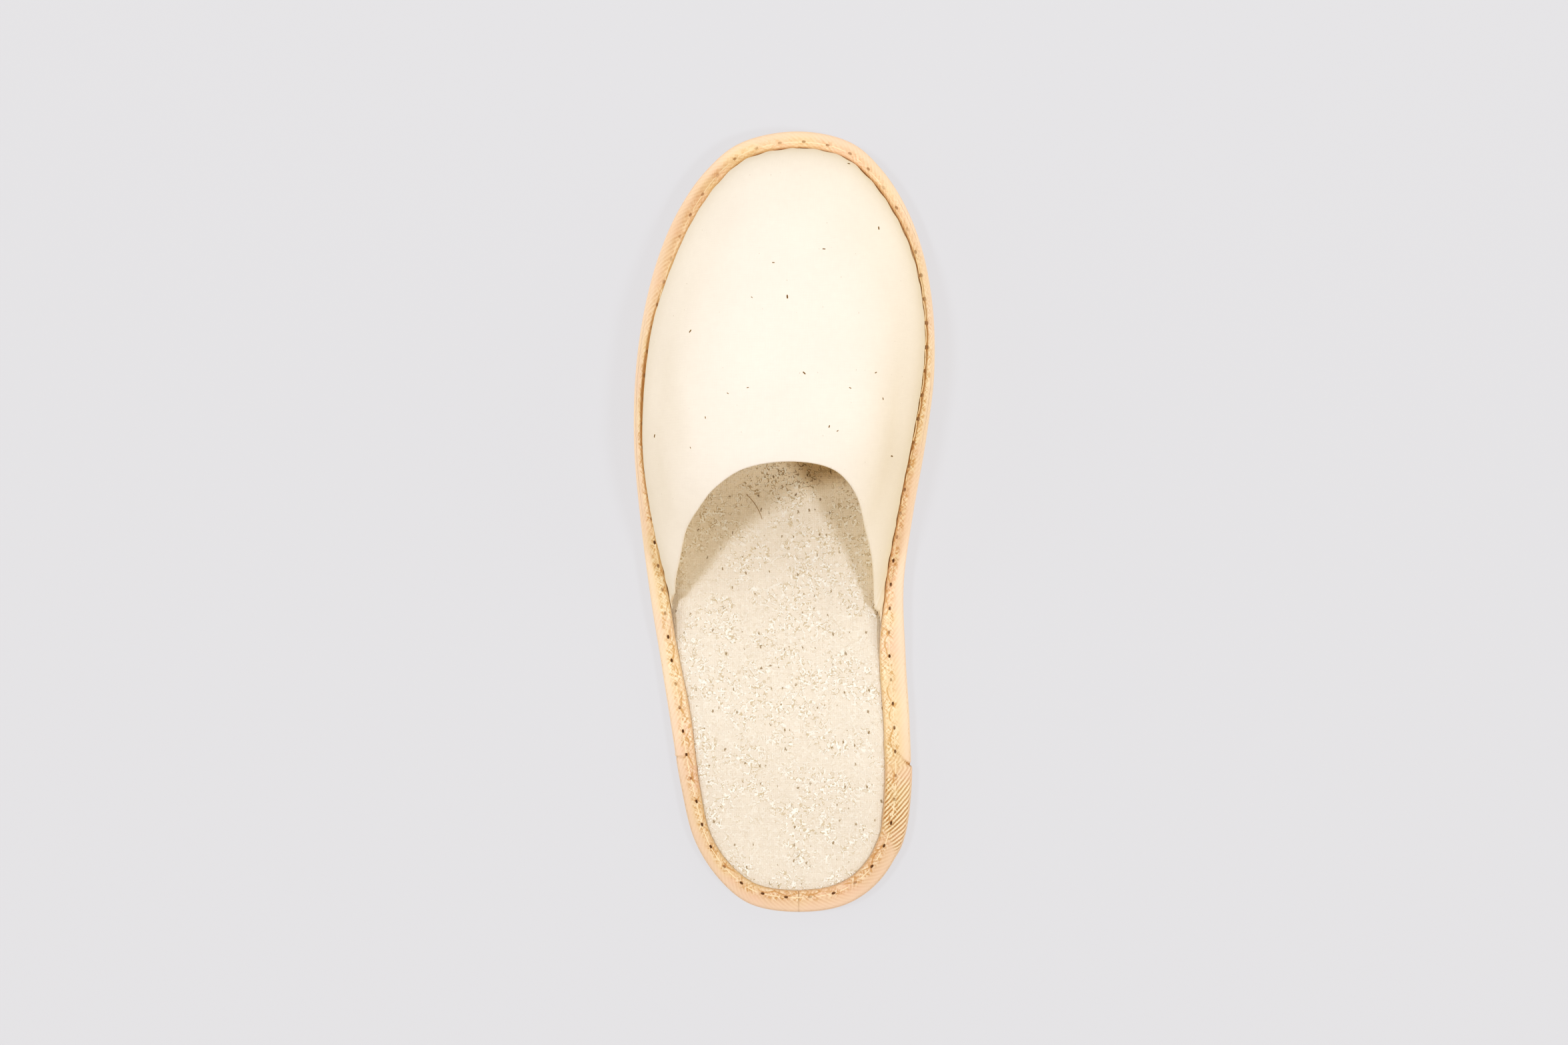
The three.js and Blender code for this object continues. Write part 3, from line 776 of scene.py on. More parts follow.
def tapeInside(rail):  # the face that wraps the seam, from under the sole to the top
    low = levels["outsoleEdge"] - sole["gap"]
    side, bend = tape["thickness"], tape["round"]
    inset = levels["stackInset"]
    high = stackTop(rail, inset) + sole["gap"]
    count = rail["count"]
    under = np.linspace(tape["under"], inset, tapeShape["underSteps"])
    path = [(np.full(count, x), np.full(count, low)) for x in under]
    turns = np.linspace(0, math.pi / 2, tapeShape["bendSteps"])
    for angle in turns[1:]:
        x = side + bend * (1 - math.sin(angle))
        path.append((np.full(count, x), np.full(count, low + bend * (1 - math.cos(angle)))))
    path.append((np.full(count, side), low + bend + (high - low - 2 * bend) / 2))
    for angle in turns[::-1]:
        x = side + bend * (1 - math.sin(angle))
        path.append((np.full(count, x), high - bend * (1 - math.cos(angle))))
    for share in np.linspace(0, 1, tapeShape["topSteps"] + 1)[1:]:
        distance = inset + (rail["cover"] - inset) * share
        height = stackTop(rail, distance)
        slope = (height - stackTop(rail, distance - 0.2)) / 0.2
        square = sole["gap"] / np.hypot(1, slope)
        path.append((distance - slope * square, height + square))
    return np.stack([np.stack(p, axis=-1) for p in path], axis=1)


def pathNormals(path):  # square to the path, away from what it wraps
    step = np.gradient(path, axis=1)
    normal = np.stack([-step[..., 1], step[..., 0]], axis=-1)
    return normal / np.linalg.norm(normal, axis=-1)[..., None]


def stitchLine(rail):  # the seam's length at each station, and the number of its stitches
    line = place(rail, rail["seam"], 0)[:, :2]
    length = arcLength(np.vstack([line, line[:1]]))
    count = round(length[-1] / stitches["pitch"])
    return length, count


def tapeRelief(rail, path):  # how far the tape's outer face stands out, and the shades it takes
    shape = tapeShape
    inset, cover = levels["stackInset"], rail["cover"][:, None]
    distance = path[..., 0]
    onTop = path[..., 1] > levels["insoleEdge"]
    above = path[..., 1] > levels["outsoleEdge"]
    share = np.clip((distance - inset) / (cover - inset), 0, 1)
    seamAt = rail["seam"][:, None]
    length, count = stitchLine(rail)
    phase = (length[:-1] / length[-1] * count + 0.5) % 1
    nearHole = (np.minimum(phase, 1 - phase) * stitches["pitch"])[:, None]
    fromSeam = distance - seamAt
    y = rail["point"][:, 1]
    toFront = smooth((y[:, None] - shape["frontFrom"]) / shape["frontReach"])
    pulled = 1 - shape["frontEase"] * toFront
    puff = np.sin(math.pi * np.clip(distance / seamAt, 0, 1)) ** shape["crownPower"]
    relief = shape["crown"] * puff * smooth(distance / shape["crownReach"])
    relief = relief - shape["groove"] * pulled * hump(fromSeam, shape["grooveWidth"])
    hole = hump(np.hypot(fromSeam, nearHole), shape["dimpleWidth"])
    relief = relief - shape["dimple"] * pulled * hole

    # Fine gathers beside the seam, and soft wrinkles over the whole top
    along = rail["length"][:-1, None]
    u = np.broadcast_to(along, distance.shape)
    fine = softNoise(u, distance * 0.8, u * 0, shape["gatherSize"], 6.3)
    soft = softNoise(u, distance, u * 0, shape["wrinkleSize"], 3.1)
    beside = np.maximum(fromSeam - 0.6, 0) + np.maximum(-0.4 - fromSeam, 0)
    nearSeam = hump(beside, shape["gatherWidth"])
    relief = relief + shape["gather"] * fine * nearSeam * smooth(share * 6)
    relief = relief + shape["wrinkle"] * soft * smooth(share * 3)

    # The tape's end laps over its start on the inner side
    medial = np.arange(rail["count"]) > rail["toe"]
    start = along[medial, 0][np.argmin(np.abs(y[medial] - shape["lapAt"]))]
    past = along - start + (distance - inset) * shape["lapSlant"]
    lapEnd = smooth((past - shape["lapLength"]) / shape["lapFade"])
    lap = smooth(past / shape["lapRise"]) * (1 - lapEnd) * above
    relief = np.where(onTop, relief, 0) + shape["lapStep"] * lap
    notch = hump(np.hypot(past / 0.7, (distance - 0.8) / 1.6), 1)
    relief = relief - shape["lapNotch"] * notch * above
    tuck = hump(np.hypot(past / 0.6, (distance - 0.9) / 1.1), 1)

    # A short fold across the rim on the outer side
    foldStart = along[~medial, 0][np.argmin(np.abs(y[~medial] - shape["foldAt"]))]
    crossFold = along - foldStart + shape["foldSlant"] * distance
    foldReach = 1 - smooth((distance - shape["foldReach"]) / shape["foldReach"])
    trough = shape["foldTrough"] * hump(crossFold, 0.35)
    folded = shape["foldRidge"] * hump(crossFold - 0.7, 0.6) - trough
    relief = relief + folded * foldReach * above
    # Painted shade in the creases at the lap's end, across the rim and at the tuck
    crease = 0.6 * hump(past, 0.3) * above + 0.5 * hump(crossFold, 0.3) * foldReach * above
    crease = crease + 0.8 * tuck * above

    # The shadow line along the tape's edge, which the canvas hides from above on the outer side
    steps = np.linalg.norm(np.diff(path, axis=1), axis=-1)
    fromEdge = np.cumsum(steps[:, ::-1], axis=1)[:, ::-1]
    edge = np.concatenate([fromEdge, np.zeros((len(path), 1))], axis=1)
    flank = hump((y[:, None] - shape["flankAt"]) / shape["flankReach"], 1)
    hidden = np.where(medial[:, None], 0, 1.0) * flank * rail["vamp"][:, None]
    shadow = shape["shadowFlank"] * flank + shape["shadowVamp"]
    shadow = rail["vamp"][:, None] * shadow + shape["shadowHeel"]
    return relief, {
        "lap": lap * np.where(onTop, 1, 0.5),
        "line": crease,
        "rim": hump(np.maximum(distance - 1.2, 0), 1.8) * above,
        "hole": (1 - shape["holeEase"] * toFront) * onTop,
        "seam": np.where(onTop, fromSeam, farOff),
        "near": np.broadcast_to(nearHole, distance.shape),
        "edge": np.maximum(edge - hidden, 0),
        "edgeShadow": np.broadcast_to(shadow, distance.shape),
    }


def makeTape():
    rail = makeRail(tapeShape)
    path = tapeInside(rail)
    normal = pathNormals(path)
    relief, shades = tapeRelief(rail, path)
    outer = path + normal * (tape["thickness"] + relief)[..., None]
    half = (outer - path) / 2
    middle = (outer + path) / 2
    angles = tapeShape["endAngles"]

    def roundEnd(k, sign):
        out = np.stack([-half[:, k, 1], half[:, k, 0]], axis=-1) * sign
        return [middle[:, k] + half[:, k] * math.cos(a) + out * math.sin(a) for a in angles]

    ends = [roundEnd(-1, -1), roundEnd(0, 1)[::-1]]
    section = np.concatenate(
        [outer, np.stack(ends[0], axis=1), path[:, ::-1], np.stack(ends[1], axis=1)], axis=1
    )
    rows = section.shape[1]
    points = np.stack([place(rail, *section[:, n].T) for n in range(rows)], axis=1)
    steps = np.linalg.norm(np.diff(section, axis=1, prepend=section[:, :1]), axis=-1)
    across = np.cumsum(steps, axis=1)
    along = np.broadcast_to(rail["length"][:-1, None], across.shape)
    cloth = np.stack([along, across], axis=-1)
    values = {name: np.zeros(across.shape) for name in shades}
    outerRows = path.shape[1]
    for name, shade in shades.items():
        values[name][:, :outerRows] = shade
    values["seam"][:, outerRows:] = farOff
    values["edgeShadow"][:, outerRows : outerRows + len(angles) + 1] = shades["edgeShadow"][:, -1:]
    piece = addMesh(
        "edge_tape_cloth",
        points.reshape(-1, 3),
        gridFaces(rail["count"], rows, True, True),
        cloth.reshape(-1, 2),
        {name: column.ravel() for name, column in values.items()},
    )
    finishPiece(piece, tapeMaterial(), "edge_tape", "edge_tape")
    return rail, path, normal, relief


def threadMaterial():
    material, nodes, shader = newMaterial("sewing thread", 0.6, 0.3, 0.3)
    twist = noiseOf(readPlace(nodes), 5.0, 1.0)
    feed(shader["Base Color"], mixed(twist, stitches["deep"], stitches["pale"]))
    return material


def makeStitches(rail, path, normal, relief):
    material = threadMaterial()
    length, count = stitchLine(rail)
    columns = np.arange(rail["count"])
    onTop = slice(path.shape[1] - tapeShape["topSteps"], None)
    beneath = slice(tapeShape["underSteps"] - 1, None, -1)
    outer = path + normal * (tape["thickness"] + relief)[..., None]
    for name, rows, distance, sink, crown in (
        ("stitches_top", onTop, rail["seam"], stitches["sink"], stitches["crown"]),
        ("stitches_under", beneath, np.full(rail["count"], stitches["underAt"]), 0.0, 0.0),
    ):
        line, out = outer[:, rows], normal[:, rows]
        ahead = np.array([np.searchsorted(line[c, :, 0], distance[c]) for c in columns])
        ahead = np.clip(ahead, 1, line.shape[1] - 1)
        before, after = line[columns, ahead - 1], line[columns, ahead]
        share = ((distance - before[:, 0]) / (after[:, 0] - before[:, 0]))[:, None]
        seam = before + (after - before) * share
        side = out[columns, ahead - 1] * (1 - share) + out[columns, ahead] * share
        points = place(rail, seam[:, 0], seam[:, 1])
        up = np.column_stack([rail["inward"] * side[:, :1], side[:, 1]])
        closed = np.vstack([points, points[:1]])
        places = np.arange(count) / count * length[-1]
        centres = np.column_stack([np.interp(places, length, closed[:, k]) for k in range(3)])
        ups = np.column_stack([np.interp(places, length[:-1], up[:, k]) for k in range(3)])
        heading = np.roll(centres, -1, axis=0) - np.roll(centres, 1, axis=0)
        heading /= np.linalg.norm(heading, axis=1)[:, None]
        shape = {"Sink": sink, "Crown": crown, **stitches["thread"]}
        scatter(name, "thread", centres, heading, ups, "edge_tape", material, **shape)


# Canvas upper

canvasLook = {
    "pale": (0.87, 0.80, 0.735, 1),
    "warm": (0.82, 0.735, 0.635, 1),
    # Painted shade for the vamp's steep sides, outer and inner
    "lateralFlankShade": (0.78, 0.70, 0.555, 1),
    "medialFlankShade": (0.80, 0.685, 0.50, 1),
    # Painted shade in the crease at the seam and at the wing tips
    "line": (0.50, 0.30, 0.15, 1),
    "fleck": (0.17, 0.12, 0.07, 1),
    "fleckShare": 0.35,
    "weave": {"Thread": 0.42, "Uneven": 0.35, "Slubs": 0.25},
    "specks": {"Spacing": 7.0, "Size": 0.2, "Share": 0.3, "Seed": 3.0},
    "mottle": 0.075,
    "threadTone": (0, 1, 0.985, 1.01, "LINEAR"),
    "weaveShade": (0.1, 0.9),
    "middle": (-20, 20),
    "depth": 0.05,
}
canvasShape = {
    "heelSteps": 60,
    "vampSteps": 160,
    "marginRows": 5,
    "rows": 64,
    "rowPower": 1.7,
    "liningRows": 40,
    "mapSteps": 16,
    "normalPasses": 5,
    "wall": 0.8,
    "hem": 9,
    "hemStep": 0.6,
    "liningGap": 0.05,
    "thinnest": 0.15,
    "sag": 0.35,
    "sagSize": 34,
    "pucker": 0.22,
    "puckerStart": 1.5,
    "puckerReach": 4.5,
    "tipLength": 18,
    "tipShare": 0.12,
    "tipFree": 5,
    "tipLine": 16,
    "tipLineWidth": 0.2,
    "seamShade": [0.8, 0.6, 0.2],
}
liningLook = {
    "pale": (0.93, 0.76, 0.40, 1),
    "deep": (0.80, 0.60, 0.26, 1),
    "weave": {"Thread": 0.38, "Uneven": 0.3, "Slubs": 0.1},
    "weaveShade": (0.1, 0.9),
    "depth": 0.04,
}
# Soft troughs (below 0) and ridges from one place to another in plan: start, end, width and rise
creases = [
    ((-45, 64), (-37, 20), 6.5, -0.7),
    ((-37, 56), (-29, 22), 5.0, 0.35),
    ((-30, 14), (-38, -14), 4.0, -0.5),
    ((30, 62), (36, 18), 7.0, 0.45),
    ((44, 60), (41, 16), 5.0, -0.4),
    ((-12, 26), (-26, 48), 6.0, -0.25),
]
# Seed husks: across, along and the way each lies
husks = [
    (15.7, 97.7, 0.0), (-8.8, 79.5, 2.4), (3.0, 79.3, 1.66), (-31.8, 68.0, 0.92),
    (-10.6, 48.6, 0.18), (-17.4, 46.1, 2.58), (-25.7, 37.6, 1.83), (-45.3, 31.4, 1.09),
    (34.7, 53.6, 0.35), (25.2, 47.6, 2.75), (37.4, 44.1, 2.01), (18.6, 34.8, 1.27),
    (21.1, 32.6, 0.53), (40.0, 23.7, 2.93), (-30.9, 26.5, 2.19), (35.2, 105.9, 1.44),
    (24.3, 129.8, 0.7), (-1.6, 93.0, 3.1), (9.6, 53.8, 2.36),
]
huskShape = {"Length": 0.9, "Thickness": 0.42, "Sink": 0.1, "Crown": 0.03, "Uneven": 0.35, "Seed": 9}


def canvasMaterial():
    material, nodes, shader = newMaterial("cotton canvas", 0.9, 0.2, 0.25)
    cloth, where = readCloth(nodes), readPlace(nodes)
    look = canvasLook
    weave = useGroup("weave", Cloth=cloth, **look["weave"])
    shade = useGroup("shade", Place=where, Amount=look["mottle"])["Tone"]
    specks = useGroup("flecks", Place=cloth, **look["specks"])["Mask"]
    colour = mixed(ramp(weave["Height"], *look["weaveShade"]), look["warm"], look["pale"])
    colour = mixed(0.6, colour, look["pale"])
    # Steeper faces turn warmer and darker: painted shade on the vamp's sides, each side with its own
    # tint
    side = ramp(split(where)[0], *look["middle"])
    flank = mixed(side, look["lateralFlankShade"], look["medialFlankShade"])
    colour = mixed(readValue(nodes, "flank"), colour, flank)
    # Painted shade in the crease along the seam and at the wing tips
    colour = mixed(readValue(nodes, "line"), colour, look["line"])
    colour = colour * (shade * ramp(weave["Tone"], *look["threadTone"]))
    feed(shader["Base Color"], mixed(specks * look["fleckShare"], colour, look["fleck"]))
    addBump(shader, weave["Height"], look["depth"], 0.6)
    return material


class Dome:  # the vamp's outer face over any place in plan
    def __init__(self, rail):
        corner, last = rail["corner"], rail["count"] - rail["corner"]
        self.columns = slice(corner, last + 1)
        rows = self.columns
        distance = rail["cover"][rows] + sole["gap"]
        self.seam = place(rail, distance, stackTop(rail, distance, rows), rows)
        self.inward = rail["inward"][rows]
        tip = rail["toe"] - corner
        self.lateral, self.medial = self.seam[: tip + 1], self.seam[tip:][::-1]
        poleY = float(alongOf(vamp["pole"]))
        left, right = self.sidesAt(poleY)
        self.pole = np.array([(left + right) / 2, poleY])
        ray = self.seam[:, :2] - self.pole
        self.angle = np.unwrap(np.arctan2(ray[:, 1], ray[:, 0]))
        self.reach = np.hypot(*ray.T)
        self.toeTop = float(stackTop(rail, np.zeros(rail["count"]))[rail["toe"]])

    def sidesAt(self, y):
        left = np.interp(y, self.lateral[:, 1], self.lateral[:, 0])
        right = np.interp(y, self.medial[:, 1], self.medial[:, 0])
        return left, right

    def share(self, x, y):  # 0 on the seam, 1 on the crest
        left, right = self.sidesAt(y)
        flank = 1 - np.abs(x - (left + right) / 2) / np.maximum((right - left) / 2, 1e-6)
        dx, dy = x - self.pole[0], np.maximum(y - self.pole[1], 0)
        angle = np.arctan2(dy, dx)
        order = np.argsort(self.angle)
        base = self.angle[order]
        angle = angle + 2 * math.pi * np.round((base.mean() - angle) / (2 * math.pi))
        toe = 1 - np.hypot(dx, dy) / np.interp(angle, base, self.reach[order])
        return np.clip(np.where(y > self.pole[1], toe, flank), 0, 1)

    def height(self, x, y, seamZ):
        share = self.share(x, y)
        crest = vamp["throat"] * readColumn(crestTable, "height", atOf(y))
        arch = (1 - (1 - share) ** vamp["flankPower"]) ** (1 / vamp["wallPower"])
        base = seamZ + (self.toeTop - seamZ) * smooth(share)
        return base, crest * arch


def makeCollar(dome):
    ends = [dome.seam[k, :2] + dome.inward[k] * vamp["cornerStub"] for k in (0, -1)]
    middle = np.stack(
        [np.array(collarTable["across"]) * sole["width"], alongOf(collarTable["at"])], axis=1
    )
    line = splineThrough(np.vstack([ends[0], middle, ends[1]]), False)
    return evenly(line, len(dome.seam) - 1)


def vampGrid(rail):
    dome = Dome(rail)
    rows = dome.columns
    collar = makeCollar(dome)
    grid = []
    inset = levels["stackInset"]
    for share in np.linspace(0, 1, canvasShape["marginRows"]):
        distance = inset + (rail["cover"][rows] - inset) * share
        grid.append(place(rail, distance, stackTop(rail, distance, rows), rows))
    grid.append(dome.seam)
    margin = len(grid)
    for row in range(1, canvasShape["rows"] + 1):
        share = (row / canvasShape["rows"]) ** canvasShape["rowPower"]
        plan = dome.seam[:, :2] + (collar - dome.seam[:, :2]) * share
        base, rise = dome.height(plan[:, 0], plan[:, 1], dome.seam[:, 2])
        swell = np.sin(math.pi * np.clip(rise / vamp["bulgeHeight"], 0, 1)) ** 2
        plan = plan - dome.inward * (vamp["bulge"] * rail["vamp"][rows] * swell)[:, None]
        point = np.column_stack([plan, base + rise])
        grid.append(dome.seam + (point - dome.seam) * wingTaper(dome)[:, None])
    return dome, np.stack(grid, axis=1), margin


def fromEnds(dome):  # the way along the seam from the nearer corner
    length = arcLength(dome.seam)
    return np.minimum(length, length[-1] - length)


def wingTaper(dome):  # the wings grow thin towards the corners, where the tape takes them in
    share = canvasShape["tipShare"]
    return 1 - (1 - share) * (1 - np.clip(fromEnds(dome) / canvasShape["tipLength"], 0, 1)) ** 2


def evened(normal):  # normals averaged with the neighbouring columns
    for _ in range(canvasShape["normalPasses"]):
        wide = np.concatenate([normal[:1], normal, normal[-1:]])
        normal = wide[:-2] + 2 * normal + wide[2:]
        normal /= np.linalg.norm(normal, axis=-1)[..., None]
    return normal


def gridNormals(grid):
    normal = np.cross(np.gradient(grid, axis=1), np.gradient(grid, axis=0))
    return normal / np.maximum(np.linalg.norm(normal, axis=-1), 1e-9)[..., None]


def alongSegment(x, y, start, end):  # distance from a segment, and the share along it
    start, end = np.array(start, float), np.array(end, float)
    step = end - start
    t = ((x - start[0]) * step[0] + (y - start[1]) * step[1]) / (step @ step)
    near = np.clip(t, 0, 1)
    return np.hypot(x - start[0] - near * step[0], y - start[1] - near * step[1]), t


def vampRelief(rail, dome, grid, margin):
    x, y, z = np.moveaxis(grid, -1, 0)
    rise = z - dome.seam[:, 2][:, None]
    relief = np.zeros(x.shape)
    for start, end, width, height in creases:
        distance, t = alongSegment(x, y, start, end)
        relief += height * hump(distance, width) * np.sin(math.pi * np.clip(t * 0.8 + 0.1, 0, 1))
    relief += canvasShape["sag"] * softNoise(x, y, z, canvasShape["sagSize"], 5.2)
    relief *= smooth((rise - 1) / 9)
    length, count = stitchLine(rail)
    phase = length[:-1][dome.columns] / length[-1] * count
    wave = np.cos(2 * math.pi * phase)[:, None]
    start, reach = canvasShape["puckerStart"], canvasShape["puckerReach"]
    nearSeam = smooth(rise / start) * hump(np.maximum(rise - start, 0), reach)
    relief += canvasShape["pucker"] * wave * nearSeam
    relief[:, :margin] = 0
    return relief


def clothMap(dome, grid):  # where each place lies on the flat cloth, by lengths over the dome
    x, y = grid[..., 0].ravel(), grid[..., 1].ravel()
    pole = dome.pole
    steps = np.linspace(0, 1, canvasShape["mapSteps"] + 1)

    def over(startX, startY):
        lineX = startX + (x - startX) * steps[:, None]
        lineY = startY + (y - startY) * steps[:, None]
        base, rise = dome.height(lineX.ravel(), lineY.ravel(), 0)
        line = np.stack([lineX, lineY, (base + rise).reshape(lineX.shape)], axis=-1)
        return np.linalg.norm(np.diff(line, axis=0), axis=-1).sum(axis=0)

    u = np.sign(x - pole[0]) * over(np.full(x.shape, pole[0]), y)
    v = np.sign(y - pole[1]) * over(x, np.full(x.shape, pole[1]))
    return np.column_stack([u, v]).reshape(grid.shape[:2] + (2,))


def closedShell(outer, inner, rimSteps=4):  # both faces, joined by a round rim at the last row
    middle, half = (outer[:, -1] + inner[:, -1]) / 2, (outer[:, -1] - inner[:, -1]) / 2
    out = outer[:, -1] - outer[:, -2]
    out /= np.linalg.norm(out, axis=-1)[:, None]
    reach = np.linalg.norm(half, axis=-1)[:, None]
    angles = np.linspace(0, math.pi, rimSteps + 2)[1:-1]
    rim = [middle + half * math.cos(a) + out * reach * math.sin(a) for a in angles]

    def onBoth(field):
        edge = np.repeat(field[:, -1:], rimSteps, axis=1)
        return np.concatenate([field, edge, field[:, ::-1]], axis=1)

    return np.concatenate([outer, np.stack(rim, axis=1), inner[:, ::-1]], axis=1), onBoth


def shellFaces(columns, rows):  # the ring of rows closes on itself, and the two end columns are capped
    faces = gridFaces(columns, rows, False, True).tolist()
    for n in range(rows // 2 - 1):
        a, b = n, n + 1
        c, d = rows - 2 - n, rows - 1 - n
        faces.append([a, d, c, b])
        last = (columns - 1) * rows
        faces.append([last + a, last + b, last + c, last + d])
    return faces


def makeUpper():
    rail = makeRail(canvasShape)
    dome, grid, margin = vampGrid(rail)
    cloth = clothMap(dome, grid)
    relief = vampRelief(rail, dome, grid, margin)
    outer = grid + gridNormals(grid) * relief[..., None]
    normal = evened(gridNormals(outer))
    down = np.linalg.norm(np.diff(outer, axis=1), axis=-1)
    fromCollar = np.cumsum(down[:, ::-1], axis=1)[:, ::-1]
    fromCollar = np.concatenate([fromCollar, np.zeros((len(outer), 1))], axis=1)
    hemShare = 1 - smooth((fromCollar - canvasShape["hem"]) / canvasShape["hemStep"])
    wall = canvasShape["wall"] + (vamp["wall"] - canvasShape["wall"]) * hemShare
    thinnest = canvasShape["thinnest"]
    thin = (thinnest + (1 - thinnest) * wingTaper(dome))[:, None]
    inner = outer - normal * (wall * thin)[..., None]
    shell, onBoth = closedShell(outer, inner)
    # How far each face turns from upwards; it drives the painted shade on the vamp's sides
    flank = np.clip(1 - normal[..., 2], 0, 1) ** 0.8
    # Painted shade: a dark line where the canvas rises from the tape, and along the collar's edge near
    # the wing tips
    line = np.zeros(flank.shape)
    line[:, margin - 1 : margin + 2] = canvasShape["seamShade"]
    ends = fromEnds(dome)
    runOut = smooth(ends / canvasShape["tipFree"]) * (1 - smooth(ends / canvasShape["tipLine"]))
    atCollar = hump(fromCollar, canvasShape["tipLineWidth"])
    line = np.maximum(line, 0.7 * runOut[:, None] * atCollar)
    piece = addMesh(
        "upper_canvas",
        shell.reshape(-1, 3),
        shellFaces(*shell.shape[:2]),
        onBoth(cloth).reshape(-1, 2),
        {"flank": onBoth(flank).ravel(), "line": onBoth(line).ravel()},
    )
    finishPiece(piece, canvasMaterial(), "upper", "upper")
    start = margin + 1
    faceDepth = canvasShape["wall"] + canvasShape["liningGap"]
    face = (outer - normal * faceDepth * thin[..., None])[:, start:]
    back = (outer - normal * vamp["wall"] * thin[..., None])[:, start:]
    last = np.argmax(fromCollar < canvasShape["hem"] + canvasShape["hemStep"], axis=1) - 1 - start
    face, back, flat = (trimmed(field, last) for field in (face, back, cloth[:, start:]))
    shell, onBoth = closedShell(face, back, 2)
    lining = addMesh(
        "upper_lining",
        shell.reshape(-1, 3),
        shellFaces(*shell.shape[:2]),
        onBoth(flat).reshape(-1, 2),
    )
    finishPiece(lining, liningMaterial(), "upper", "upper")
    return outer, normal


def trimmed(field, last):  # each column drawn up again in even rows, as far as its last one
    columns, rows = field.shape[:2]
    places = np.maximum(last, 1)[:, None] * np.linspace(0, 1, canvasShape["liningRows"])[None, :]
    low = np.clip(np.floor(places).astype(int), 0, rows - 2)
    share = (places - low)[..., None]
    c = np.arange(columns)[:, None]
    return field[c, low] * (1 - share) + field[c, low + 1] * share


def liningMaterial():
    material, nodes, shader = newMaterial("vamp lining", 0.92, 0.15, 0.25)
    look = liningLook
    height = useGroup("weave", Cloth=readCloth(nodes), **look["weave"])["Height"]
    feed(shader["Base Color"], mixed(ramp(height, *look["weaveShade"]), look["deep"], look["pale"]))
    addBump(shader, height, look["depth"], 0.5)
    return material


def makeHusks(outer, normal):  # the seed husks that show in the photo, at their places in plan
    material, nodes, shader = newMaterial("seed husk", 0.8)
    feed(shader["Base Color"], canvasLook["fleck"])
    flat, facing = outer.reshape(-1, 3), normal.reshape(-1, 3)
    points, alongs, ups = [], [], []
    for x, y, angle in husks:
        near = int(np.argmin(np.hypot(flat[:, 0] - x, flat[:, 1] - y)))
        up = facing[near]
        heading = np.array([math.cos(angle), math.sin(angle), 0])
        heading = heading - up * (heading @ up)
        points.append(flat[near])
        alongs.append(heading / np.linalg.norm(heading))
        ups.append(up)
    scatter("seed_husks", "thread", points, alongs, ups, "upper", material, **huskShape)


# Insole

linenLook = {
    "pale": (0.835, 0.757, 0.66, 1),
    "deep": (0.67, 0.58, 0.47, 1),
    "dark": (0.17, 0.12, 0.07, 1),
    # Painted shadow beside the raised fibres
    "fibreShade": (0.50, 0.41, 0.29, 1),
    # Painted shade for the fibres under the vamp
    "underVampShade": (0.30, 0.22, 0.12, 1),
    # Pale fibres with a painted highlight
    "light": (0.98, 0.945, 0.875, 1),
    "weave": {"Thread": 0.72, "Uneven": 0.9, "Slubs": 0.7},
    "husks": {"Spacing": 4.4, "Size": 0.48, "Share": 0.5, "Seed": 8.0},
    "fineNap": {"Size": 1.15, "Level": 0.5, "Seed": 21.0},
    "longNap": {"Size": 1.5, "Level": 0.47, "Seed": 63.0},
    "threadTone": (0, 1, 0.965, 1.025, "LINEAR"),
    "weaveShade": (0.15, 0.95),
    # Ramps along the foot
    "heelTone": (-60, -115, 1.0, 0.93),
    # Painted light that lifts the ground under the vamp, and where the deeper painted shade under it
    # begins
    "underVampLift": (2, 24, 1.0, 1.22),
    "underVampFrom": (-5, 28),
    "fibre": (0.30, 0.20, 0.11, 1),
    "fibreFrom": (-14, 10.5),
    "fibreTo": (-8, 1),
    "fibreWidth": 0.24,
    "fibreBow": 0.8,
    "mottle": 0.05,
    "depth": 0.2,
}
padShape = {
    "heelSteps": 110,
    "vampSteps": 170,
    "across": 48,
    "flatFrom": 15,
    "sag": 0.22,
    "sagSize": 26,
    "swellSteps": 8,
    "swellPower": 0.8,
}


def looseFibre(where):  # one stray fibre in the weave, slightly bowed
    start, end = Vector(linenLook["fibreFrom"]), Vector(linenLook["fibreTo"])
    middle, half = (start + end) / 2, (end - start).length / 2
    heading = (end - start).normalized()
    offset = where - (*middle, 0)
    along = dot(offset, (heading.x, heading.y, 0))
    across = dot(offset, (-heading.y, heading.x, 0))
    bow = calc("COSINE", along * (math.pi / 2 / half)) * linenLook["fibreBow"]
    width = linenLook["fibreWidth"] / 2
    line = ramp(calc("ABSOLUTE", across - bow), width, width * 1.6, 0.75, 0.0)
    return line * ramp(calc("ABSOLUTE", along), half - 0.4, half, 1.0, 0.0)


